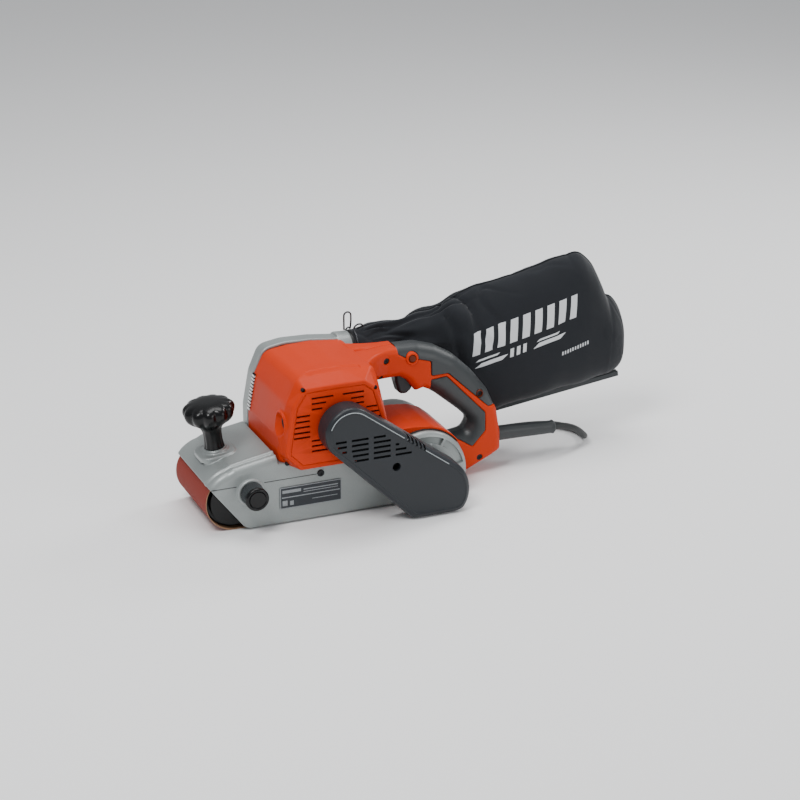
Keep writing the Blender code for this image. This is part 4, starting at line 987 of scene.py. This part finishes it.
def cover_edge(t, shrink=0.0):
    """A point on the sloping upper edge of the cover, t from the upper pulley to the lower one."""
    along = COVER_LOWER - COVER_UPPER
    lean = math.atan2(along.y, along.x) + math.acos((UPPER_R - LOWER_R) / along.length)
    out = Vector((math.cos(lean), math.sin(lean)))
    return (COVER_UPPER + out * (UPPER_R - shrink)).lerp(COVER_LOWER + out * (LOWER_R - shrink), t)


def belt_cover():
    face, wall = COVER_FACE, COVER_WALL
    stations = [  # place across the tool, how far the outline draws in
        (face + wall, 5.4 * MM + wall), (face + wall + 3 * MM, 1.4 * MM + wall), (COVER_BACK, wall), (COVER_BACK, 0.0),
    ]  # fmt: skip
    for angle in range(0, 76, 15):
        c, s = math.cos(math.radians(angle)), math.sin(math.radians(angle))
        stations.append((face + COVER_ROUND * (1 - s) + 0.5 * MM, COVER_ROUND * (1 - c) + 0.2 * MM))
    stations += [(face + 0.2 * MM, 4.2 * MM), (face, 4.6 * MM), (face, 5.4 * MM), (face + 0.5 * MM, 6.0 * MM)]
    cover = loft("drive_cover", [place(y, cover_loop(shrink)) for y, shrink in stations])
    post = pin("post", COVER_SCREW, -78, face / MM + 1.2, 6)
    notches = []
    for k in range(5):
        spot = cover_edge(0.455 + 0.045 * k) / MM
        notches.append(((spot.x - 1.3, -108, spot.y - 6.5), (spot.x + 1.3, -88, spot.y + 6)))
    cover = boolean(boolean(cover, [post], "UNION"), [
        boxes("vents", [((x0, -107, z - 1.25), (x1, -96, z + 1.25)) for x0, x1, z in COVER_VENTS]),
        boxes("notches", notches),
        pin("head_bore", COVER_SCREW, -110, -90, 4.6),
        pin("shank_bore", COVER_SCREW, -95, -70, 2.4, segments=24),
    ])  # fmt: skip
    piece(cover, "tool", "cover", ["belt_cover"], sharp=28)
    socket_screw("cover_bolt", COVER_SCREW, -93, 3.8, ["cover_screw"])
    # a near-black sheet behind the vents: painted shade inside the cover
    screen = plate("cover_shade_sheet", [cover_loop(10 * MM)], face + 3.0 * MM, face + 3.5 * MM)
    piece(boolean(screen, [pin("post_bore", COVER_SCREW, -105, -90, 6.2)]), "tool", "screen")
    cover_glint_beads()


def cover_glint_beads():
    """The raised line along the cover's upper edge, in two parts with the notches between them, coloured light grey as
    a painted glint.
    """
    shrink = 4.4 * MM
    front = arc(*COVER_UPPER, UPPER_R - shrink, 160, 58, 24) + [cover_edge(t, shrink) for t in (0.06, 0.2, 0.43)]
    rear = [cover_edge(t, shrink) for t in (0.67, 0.8, 0.93)]
    for i, line in enumerate((front, rear), 1):
        path = smooth_path(place(COVER_FACE + 0.35 * MM, line), 2)
        # the light grey bead is a painted glint along the edge
        piece(wire(f"cover_glint_bead_{i}", path, 0.5 * MM, 4), "tool", "bead")


# ---------------------------------------------------------------- motor housing

HOUSING_SHAPES = {  # ten corners seen from the side, from the front foot over the top, and their radii
    "far": ([(-57, 69.5), (-57, 96), (-50, 134), (-38, 158.5), (-12, 162), (14, 162.6), (52.5, 158.6), (57.5, 130),
             (60.5, 96), (58, 69.5)], [1, 20, 25, 15, 40, 40, 8, 20, 15, 1]),
    "main": ([(-56, 69.5), (-56, 96), (-49, 134), (-37, 160.5), (-12, 163.3), (14, 163.8), (50.5, 160.5), (56.5, 130),
              (59.5, 96), (57, 69.5)], [1, 20, 25, 14, 40, 40, 8, 20, 15, 1]),
    "step": ([(-46, 65.2), (-57, 80), (-49, 134), (-37.5, 158.8), (-12, 161.3), (14, 161.6), (43.5, 159), (53, 146),
              (60, 98), (55, 65.2)], [4, 12, 18, 8, 40, 40, 5, 8, 15, 4]),
    "near": ([(-38.5, 65), (-55, 82), (-46, 136), (-34, 153.5), (-12, 154.2), (12, 154.4), (33, 154), (45.5, 144.5),
              (59, 100), (50, 65)], [4, 8, 12, 5, 40, 40, 5, 5, 15, 5]),
    "fan": ([(-57, 69.5), (-57, 96), (-50, 134), (-38.5, 160.3), (-14, 164.2), (16, 163.4), (52.5, 159.2), (57.5, 130),
             (60.5, 96), (58, 69.5)], [1, 20, 25, 15, 40, 40, 8, 20, 15, 1]),
}  # fmt: skip
MOTOR_STATIONS = [  # shape, place across the tool, how far it draws in; the skin outside and then inside
    ("far", 37.7, 0), ("main", -36, 0), ("main", -52.9, 0), ("step", -58.5, 0), ("near", -72, -0.6), ("near", -74, 0.6),
    ("near", -74, 5), ("near", -70.6, 4.6), ("step", -58.5, 2.4), ("main", -52, 2.4), ("far", 37.7, 2.4),
]  # fmt: skip
FAN_STATIONS = [(57, 6), (54, 3.4), (38, 3), (38, -0.5), (40.7, -0.7), (41.1, 0), (55, 0), (58.5, 1.6), (60, 5)]
HOUSING_VENTS = [
    (-26, -2, 142), (-26, -10, 136), (-26, -14, 130), (-42.5, -28, 124), (-43.5, -28, 118),
    (-44.5, -28, 112), (-45.5, -28, 106), (-46, -28, 100.5), (-26.5, -15, 95.3), (-26.5, -12, 89.5),
    (-26.5, -6, 83.8), (8, 31.5, 142), (17, 31.5, 136), (21, 31.5, 130), (34, 46, 124), (34, 48, 118),
    (34, 50, 112),
]  # fmt: skip
CORNER_HOLES = [mm(-34.8, 152.3), mm(44.4, 144)]
BRUSH_FRONT, BRUSH_REAR = mm(-54.2, -51.5, 111), mm(60.2, -45, 109)


def housing_outline(kind, shrink):
    """The motor or fan housing seen from the side, drawn in by some millimetres."""
    corners, radii = HOUSING_SHAPES[kind]
    return offset_rounded(mm_points(*corners), [r * MM for r in radii], shrink * MM, 6)


def housing_loft(name, stations, closed=False):
    return loft(name, [place(y * MM, housing_outline(kind, shrink)) for kind, y, shrink in stations], closed)


def motor_housing():
    front, rear = BRUSH_FRONT, BRUSH_REAR
    shell = housing_loft("motor_shell", MOTOR_STATIONS, closed=True)
    shell = boolean(shell, [rod("dish_wall", front + mm(0.8, 0, 0), front + mm(9.5, 0, 0), 14, 11, 64)], "UNION")
    shell = boolean(shell, [
        rod("dish", front - mm(3, 0, 0), front + mm(5.6, 0, 0), 15.2, 8, 64),
        rod("brush_front", front, front + mm(12, 0, 0), 7, segments=48),
        rod("brush_rear", rear - mm(16, 0, 0), rear + mm(9, 0, 0), 7.3, segments=48),
        panel_recess(),
    ])  # fmt: skip
    shell = cast(shell, 0.8, 3, 0.6)
    shell = boolean(shell, [pin("corner_hole", hole, -80, -70, 2.3, segments=24) for hole in CORNER_HOLES])
    piece(shell, "tool", "orange", ["motor_housing"], sharp=50)
    for i, hole in enumerate(CORNER_HOLES, 1):
        socket_screw(f"housing_bolt_{i}", hole, -72.4, 2.25)
    brush_cap("front", front + mm(5.2, 0, 0), 1, 6.8)
    brush_cap("rear", rear - mm(0.4, 0, 0), -1, 7)


def brush_cap(side, top, direction, radius):
    """A screwed cap over a carbon brush, with a slot for a coin; direction points into the housing."""
    flat = radius - 2.4
    profile = [(0, 0.8), (flat, 0.8), (flat, 0), (radius - 0.6, 0), (radius, 0.6), (radius, 5.5), (0, 5.5)]
    cap = turned(f"brush_holder_{side}", profile, top, (direction, 0, 0), 48)
    x, y, z = top / MM
    low, high = sorted((x - 2 * direction, x + 2.2 * direction))
    slot = box("coin_slot", (low, y - 0.9, z - 5), (high, y + 0.9, z + 5))
    piece(boolean(cap, [slot]), "tool", "matte", [f"brush_cap_{side}"], sharp=30)


def panel_recess():
    """A shallow long step in the roof, just above the sloping shoulder."""
    roof = sorted((p.x, p.y) for p in housing_outline("main", 1.2) if p.y > 150 * MM and -40 * MM < p.x < 48 * MM)
    places, heights = zip(*roof)
    line = [Vector((x * MM, np.interp(x * MM, places, heights))) for x in range(-24, 39, 3)]
    return plate("panel_recess", [line + mm_points((36, 175), (-24, 175))], -56.5 * MM, -47 * MM)


def end_cover():
    cover = plate("motor_end", [housing_outline("near", 5.2), circle(GEAR.x, GEAR.z, 8.3 * MM)], -73.2 * MM, -70.8 * MM)
    cover = boolean(cover, [boxes("vents", [((x0, -80, z - 1.1), (x1, -66, z + 1.1)) for x0, x1, z in HOUSING_VENTS])])
    piece(cover, "tool", "orange", ["motor_end_cover"], sharp=28)
    # a dark sheet behind the vents: painted shade inside the housing
    dark = plate("vent_shade_sheet", [housing_outline("near", 7), circle(GEAR.x, GEAR.z, 9 * MM)], -68 * MM, -67.4 * MM)
    piece(dark, "tool", "shade")


# ---------------------------------------------------------------- fan housing and nozzle


def outlet(x):
    """A point on the axis of the dust outlet, x in millimetres."""
    return (x * MM, BAG_Y, NOZZLE.z)


def fan_ribs():
    """Eight ribs that spread from the middle of the disc."""
    centre = Vector((ROTOR.x, 63.3 * MM, ROTOR.z))
    rays = [Vector((math.cos(t), 0, math.sin(t))) * MM for t in turns(8)]
    return [rod("rib", centre + ray * 27, centre + ray * 12, 2, segments=24) for ray in rays]


def fan_housing():
    rotor = (ROTOR.x, ROTOR.z)
    parts = [
        housing_loft("fan_shell", [("fan", y, shrink) for y, shrink in FAN_STATIONS]),
        pin("volute", rotor, 57.5, 63.6, 36, 33, 96),
        pin("bearing_seat", rotor, 45, 60, 14),
        box("duct", (50, 38.3, 131.5), (58.8, 59.4, 157.5)),
        rod("spigot", outlet(58), outlet(66), 13.6),
        rod("collar", outlet(46), outlet(61.5), 19, 18.4, 72),
        *fan_ribs(),
    ]
    fan = cast(merged("fan_case", parts), 0.9, 4, 0.5)
    fan = boolean(fan, [pin("bearing_bore", rotor, 40, 53.5, 11.3), rod("outlet", outlet(36), outlet(80), 11.5)])
    piece(fan, "tool", "paint", ["fan_housing"], sharp=50)
    intake_comb()


def intake_comb():
    """Teeth down the front edge in a pale copy of the paint, a painted highlight, with near-black boxes in the gaps
    between them as painted shade.
    """
    teeth, gaps = [], []
    for k in range(11):
        z = 95.6 + 3.6 * k
        x = -57.4 + max(0.0, z - 97) * 0.184
        teeth.append(((x - 0.6, 31.6, z), (x + 3, 37.9, z + 2.5)))
        gaps.append(((x - 0.15, 31.2, z + 2.5), (x + 3, 37.9, z + 3.6)))
    piece(boxes("fan_comb", teeth), "tool", "pale", edge=0.3, segments=2)
    piece(boxes("fan_gaps", gaps), "tool", "screen")


def dust_nozzle():
    profile = [(14.3, 2.3), (17, 2.3), (17, 29.2), (16.3, 30), (14.3, 30)]
    piece(turned("nozzle_tube", profile, outlet(59.6), REARWARD, 72, ring=True), "tool", "matte", ["dust_nozzle"])


# ---------------------------------------------------------------- rear handle

HANDLE_HALF = 17 * MM
GRIP_PROUD = 0.7 * MM
LOCK = mm(109, 147)
SWITCH_CAVITY = ((84, -10, 121), (122, 10, 152.5))
HANDLE_SCREWS = [(mm(79.5, 148), 3.7), (mm(189.5, 20.3), 3.7), (mm(73.6, 130.6), 2.4)]
RING_SCREW = mm(188.5, 95)
HANDLE_CORNERS = [  # x, z and radius, from the housing's top round the grip and back through the hand hole
    (53.5, 157, 1), (84, 160.3, 12), (118, 159, 16), (140, 152.3, 20), (162, 139.3, 25), (183, 118.8, 25),
    (201, 95.5, 20), (211, 73, 18), (215.6, 45, 12), (216, 25, 5), (204, 18.2, 6), (175, 5.2, 3), (159.6, 6.8, 2),
    (159.6, 30, 6), (155.6, 47.5, 1.5), (161, 49, 2.5), (175.5, 51, 8), (182, 63, 8), (169, 76, 10), (141, 99.8, 8),
    (132, 106, 4), (124, 110, 2), (115, 107.5, 2), (105, 121.5, 8), (96, 127, 4), (62, 125.8, 3), (58.8, 128.2, 1),
]  # fmt: skip
GRIP_ZONES = {  # where the soft grips lie on the handle, seen from the side
    "outer": mm_points((92, 185), (94, 153), (103, 148), (118, 144.8), (131.5, 140.6), (132, 124), (151, 124.5),
                       (199.7, 78.4), (230, 74.5), (230, 185)),
    "inner": mm_points((131.6, 119), (149.5, 120.5), (195.4, 72), (195.7, 51.5), (180.5, 35), (166, 44), (150, 48),
                       (150, 70), (131.8, 90)),
}  # fmt: skip
TRIGGER_CORNERS = [  # x, z and radius
    (94, 128, 1), (94.3, 119, 4), (98, 106.5, 2), (101, 104.2, 2), (107, 103.8, 3), (113, 108.5, 3), (114.2, 121, 2),
    (114.2, 134, 2), (94, 134, 2),
]  # fmt: skip
BRIDGE_CORNERS = [  # x, z and radius
    (151.5, 56.5, 0.5), (143, 66.5, 12), (132, 75.5, 20), (118, 81, 20), (98, 83, 12), (61.4, 83, 2), (61.4, 69.9, 0.5),
]  # fmt: skip


def corners_of(rows):
    """The corners and the radii of an outline given as x, z and radius in millimetres."""
    return mm_points(*[(x, z) for x, z, _ in rows]), [r * MM for *_, r in rows]


def handle_outline(shrink=0.0):
    return offset_rounded(*corners_of(HANDLE_CORNERS), shrink, 8)


def soft_grips():
    half = HANDLE_HALF + GRIP_PROUD
    outline = handle_outline(-GRIP_PROUD)
    for side, zone in GRIP_ZONES.items():
        grip = plate(f"{side}_grip", [outline], -half, half)
        grip = boolean(grip, [plate("zone", [zone], -30 * MM, 30 * MM)], "INTERSECT")
        if side == "outer":
            grip = boolean(grip, [
                pin("lock_clearance", LOCK, -30, 0, 7.2, segments=64),
                box("switch_clearance", *SWITCH_CAVITY),
                pin("ring_clearance", RING_SCREW, -30, -12, 4.6, segments=48),
            ])  # fmt: skip
        grip = swell(cast(grip, 0.75, 3, 1), outline, half, 16 * MM)
        piece(grip, "tool", "grip", [f"grip_{side}"], sharp=60)


def handle_shells():
    outline = handle_outline()
    for name, side in (("near", -1), ("far", 1)):
        y_low, y_high = sorted((0.2 * side * MM, HANDLE_HALF * side))
        shell = boolean(plate(f"{name}_handle", [outline], y_low, y_high), [
            *[plate("zone", [inset(zone, -0.25 * MM)], -30 * MM, 30 * MM) for zone in GRIP_ZONES.values()],
            box("cavity", *SWITCH_CAVITY),
            box("trigger_slot", (84, -8.4, 100), (121, 8.4, 125)),
            rod("guard_bore", mm(190, 0, 38.4), mm(230, 0, 38.4), 9.6, segments=64),
        ])  # fmt: skip
        shell = swell(cast(shell, 0.75, 3, 1), outline, HANDLE_HALF, 8 * MM)
        shell = cast(merged(f"{name}_handle", [shell, root_fairing(side)]), 0.75, 4, 0.7)
        if name == "near":
            shell = near_fittings(shell)
        piece(shell, "tool", "orange", [f"handle_{name}"], sharp=50)
    # the ring round the screw in darker orange: painted shade in the counterbore
    profile = [(3.3, 0.5), (3.5, 0), (3.8, 0), (4.2, 0.6), (4.2, 5), (3.3, 5)]
    piece(turned("screw_ring", profile, at(RING_SCREW, -17.2 * MM), ACROSS, 48, ring=True), "tool", "button")
    socket_screw("handle_bolt_upper", RING_SCREW, -15.4, 3.1)


def near_fittings(shell):
    """Adds the lock button's ring and the screws, and returns the near half with the screws' bores in it."""
    profile = [(4.3, 0.7), (4.8, 0), (6.2, 0), (7, 0.8), (7, 7), (4.3, 7)]
    piece(turned("lock_ring", profile, at(LOCK, -18.6 * MM), ACROSS, 64, ring=True), "tool", "orange")
    shell = boolean(shell, [pin("screw_bore", axis, -30, -13, radius) for axis, radius in HANDLE_SCREWS])
    for i, (axis, radius) in enumerate(HANDLE_SCREWS, 1):
        socket_screw(f"handle_bolt_{i}", axis, -15.6, radius - 0.1, [f"handle_screw_{i}"] if i < 3 else ())
    return shell


def root_fairing(side):
    """Where the handle grows out of the motor housing: wide at the housing and drawn in to the handle's width."""
    reach = 34 if side < 0 else 10
    sections = []
    for k in range(15):
        t = k / 14
        wide = 16.6 + reach * (1 - t) ** 2.3
        top, bottom = 160.5 - 1.2 * t, 128.5 + 12 * (1 - t) ** 2
        ring = []
        for turn in turns(40):
            y = (squared(math.cos(turn), 0.45) + 1) / 2 * (wide - 0.4) + 0.2
            z = (top + bottom) / 2 + squared(math.sin(turn), 0.45) * (top - bottom) / 2
            ring.append(mm(45 + 45 * t, side * y, z))
        sections.append(ring)
    return loft("root_fairing", sections)


def trigger():
    outline, half = rounded(*corners_of(TRIGGER_CORNERS), 8), 7.8 * MM
    blade = swell(cast(plate("trigger_blade", [outline], -half, half), 0.5, 2, 1), outline, half, 3 * MM)
    piece(blade, "trigger", "cover", ["trigger"], sharp=60)
    # the lock button in darker orange: painted shade in its recess
    profile = [(0, 0.1), (2.8, 0), (3.6, 0.4), (4, 1.2), (4, 13), (0, 13)]
    piece(turned("lock_stud", profile, at(LOCK, -19.2 * MM), ACROSS), "lock", "button", ["lock_button"])


def rear_cover():
    """The moulded cover over the fender, from the motor housing to the foot of the handle."""
    outline = rounded(*corners_of(BRIDGE_CORNERS)) + arc(*FENDER_AXIS, FENDER_R + 0.5 * MM, 123.5, 33, 40)
    cover = cast(plate("rear_bridge", [outline], -50 * MM, 20 * MM), 0.7, 4, 0.6)
    piece(cover, "tool", "orange", ["rear_cover"], sharp=60)


# ---------------------------------------------------------------- dust bag

BAG_STATIONS = [  # x, top z, bottom z, half width, all in millimetres
    (64.5, 163.5, 125.5, 19), (70, 163.6, 125.4, 19.2), (76, 164.8, 124.6, 19.8), (92, 166.5, 123, 20.4),
    (122, 168.5, 118, 22), (150, 174.5, 101, 24.5), (180, 185, 81, 27), (206, 192.5, 62, 28.5), (229, 196.5, 50, 30),
    (247, 200, 51.4, 31), (291, 209.5, 57.4, 32), (314, 215.6, 61, 31), (327, 218, 62.2, 30), (334, 217.4, 63, 29.4),
    (341, 213.4, 64, 28.5), (352, 201.5, 66, 26.5), (361, 184, 67.6, 24.5), (368, 167.5, 69, 23),
    (371, 163.4, 69.6, 22), (376, 160.8, 70.4, 20.4), (382, 154.6, 72.4, 17.6), (388, 144.5, 76.4, 14),
    (392, 133, 82, 10), (394.2, 122, 92, 6),
]  # fmt: skip


def bag_point(station, turn):
    """A point round the bag: nearly round at the neck, and flat-sided with a ridge at the top further back."""
    x, top, bottom, half = station
    flat = eased((x - 90) / 110)
    c, s = math.cos(turn), math.sin(turn)
    y = squared(c, 1 - 0.12 * flat) * half
    if s > 0:
        y *= 1 - 0.25 * flat * s**3
    z = squared(s, 1 - 0.3 * flat) * (top - bottom) / 2
    return Vector((x, BAG_Y / MM + y, (top + bottom) / 2 + z))


def bag_folds(spot, turn):
    """How far, in millimetres, gathers and creases lift the cloth."""
    x = spot.x
    neck = (1 - eased((x - 76) / 130)) * eased((x - 70) / 26)
    wander = 1.6 * noise.noise(Vector((x * 0.018, 0, turn * 0.6)))
    gathers = (math.sin(11 * turn + wander) * 1.3 + math.sin(5 * turn - 0.012 * x + wander) * 2.1) * neck
    diagonal = Vector((x * 0.020 + spot.z * 0.017, spot.z * 0.011, spot.y * 0.02))
    sag = eased((x - 100) / 40) * (1 - eased((x - 190) / 50))
    drape = noise.noise(diagonal * 1.6) * (1.4 + 4.4 * sag)
    valley = noise.noise(diagonal * 1.3 + Vector((4, 0, 0)))
    crease = -4.2 * math.exp(-((valley / 0.075) ** 2)) * (0.16 + sag)
    rear = 0.8 * noise.noise(spot * 0.04) * eased((x - 150) / 60)
    line = noise.noise(Vector((x * 0.009, turn * 2.1 + x * 0.007, 7)))
    pleats = (1.3 - 4.6 * math.exp(-((line / 0.07) ** 2))) * eased((x - 72) / 22) * (1 - eased((x - 120) / 110))
    return gathers + drape + crease + pleats + rear


def dust_bag():
    around = 160
    columns = smooth_path([Vector(station[:3]) for station in BAG_STATIONS], 8)
    widths = smooth_path([Vector((station[3], 0, 0)) for station in BAG_STATIONS], 8)
    sections = []
    for (x, top, bottom), width in zip(columns, widths):
        centre = Vector((x, BAG_Y / MM, (top + bottom) / 2))
        hold = eased((x - 64.5) / 10) * (1 - 0.7 * eased((x - 388) / 8))
        deepest = -1.8 - 30 * eased((x - 92) / 50)
        ring = []
        for turn in turns(around):
            spot = bag_point((x, top, bottom, width.x), turn)
            lift = max(deepest, bag_folds(spot, turn) * hold)
            ring.append((spot + (spot - centre).normalized() * lift) * MM)
        sections.append(ring)
    bag = boolean(loft("cloth_bag", sections), [rod("mouth", outlet(50), outlet(100), 17.3, segments=72)])
    piece(bag, "bag", "cloth", ["dust_bag"], sharp=75)
    seam = [ring[around // 4] + mm(0, 0, 0.4) for ring in sections[12::2]]
    piece(wire("bag_piping", smooth_path(seam, 2), 0.9 * MM, 3), "bag", "cloth")


def bag_clamp():
    """Spring wire round the bag's neck, with a long and a short finger loop."""
    wire_r, ring_r = 0.95 * MM, 21 * MM
    x_low, x_high, neck, top = 57.2 * MM, 65.2 * MM, 66.4 * MM, 180.6 * MM
    centre, half = (x_low + x_high) / 2, (x_high - x_low) / 2
    tall = [Vector((x_low, BAG_Y, z * MM)) for z in (165, 167, 174)] + [Vector((x_low, BAG_Y, top))]
    tall += place(BAG_Y, arc(centre, top, half, 150, 30, 4))
    tall += [Vector((x_high, BAG_Y, top)), Vector((x_high, BAG_Y, 174 * MM))]
    ring = []
    for k in range(49):
        turn = math.radians(84 - 342 * k / 48)
        x = x_high + (neck - x_high) * k / 48
        ring.append(Vector((x, BAG_Y + ring_r * math.cos(turn), NOZZLE.z + ring_r * math.sin(turn))))
    short = [ring[-1] + mm(*step) for step in ((1.5, 0.4, 3), (5, 0.4, 5.4), (9.4, 0.4, 5), (11, 0.4, 2.4))]
    piece(wire("neck_spring", smooth_path(tall + ring + short, 3), wire_r), "bag", "spring", ["bag_clamp"])


def bag_fastener():
    """A rail on the bag's lower edge, with a groove along its top."""
    start, end = mm(218, 0, 41.8), mm(390, 0, 63.8)
    along = (end - start).normalized()
    across = Vector((-along.z, 0, along.x))
    profile = [  # across the tool, up from the lower edge
        (-3.5, 0.8), (-2.9, 0.2), (2.9, 0.2), (3.5, 0.8), (3.5, 5.8), (2.9, 6.4), (1, 6.4), (1, 4.6), (-1, 4.6),
        (-1, 6.4), (-2.9, 6.4), (-3.5, 5.8),
    ]  # fmt: skip
    sections = [[p + across * z * MM + Vector((0, BAG_Y + w * MM, 0)) for w, z in profile] for p in (start, end)]
    piece(loft("closing_rail", sections), "fastener", "rail", ["bag_fastener"], edge=0.2)


# ---------------------------------------------------------------- CAD nodes that stay

KEPT = {
    "steel": ["platen", "tension_spring", "gear_bearing_outer", "motor_bearing_near", "motor_bearing_far",
              "drum_bearing_outer", "drum_bearing_inner", "drum_shaft", "driven_pulley", "intermediate_gear",
              "intermediate_shaft", "drive_pulley", "armature_shaft", "tension_carriage", "idler_axle",
              "tension_lever", "tracking_screw", "front_knob_bolt"],
    "iron": ["stator"],
    "copper": ["armature_core", "commutator"],
    "casting": ["gear_bracket"],
    "cork": ["cork_pad"],
    "carbon": ["brush_front", "brush_rear"],
    "rubber": ["drive_belt"],
    "matte": ["switch_body", "cooling_fan"],
}  # fmt: skip


def finish_kept_nodes():
    for finish, names in KEPT.items():
        for name in names:
            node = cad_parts[name]
            node.data.materials.clear()
            node.data.materials.append(FINISHES[finish])


for build in (
    camera, studio, cord, cord_guard, main_frame, label, sanding_belt, rollers, front_knob, tracking_knob, belt_cover,
    motor_housing, end_cover, fan_housing, dust_nozzle, soft_grips, handle_shells, trigger, rear_cover, dust_bag,
    bag_clamp, bag_fastener, finish_kept_nodes,
):  # fmt: skip
    build()
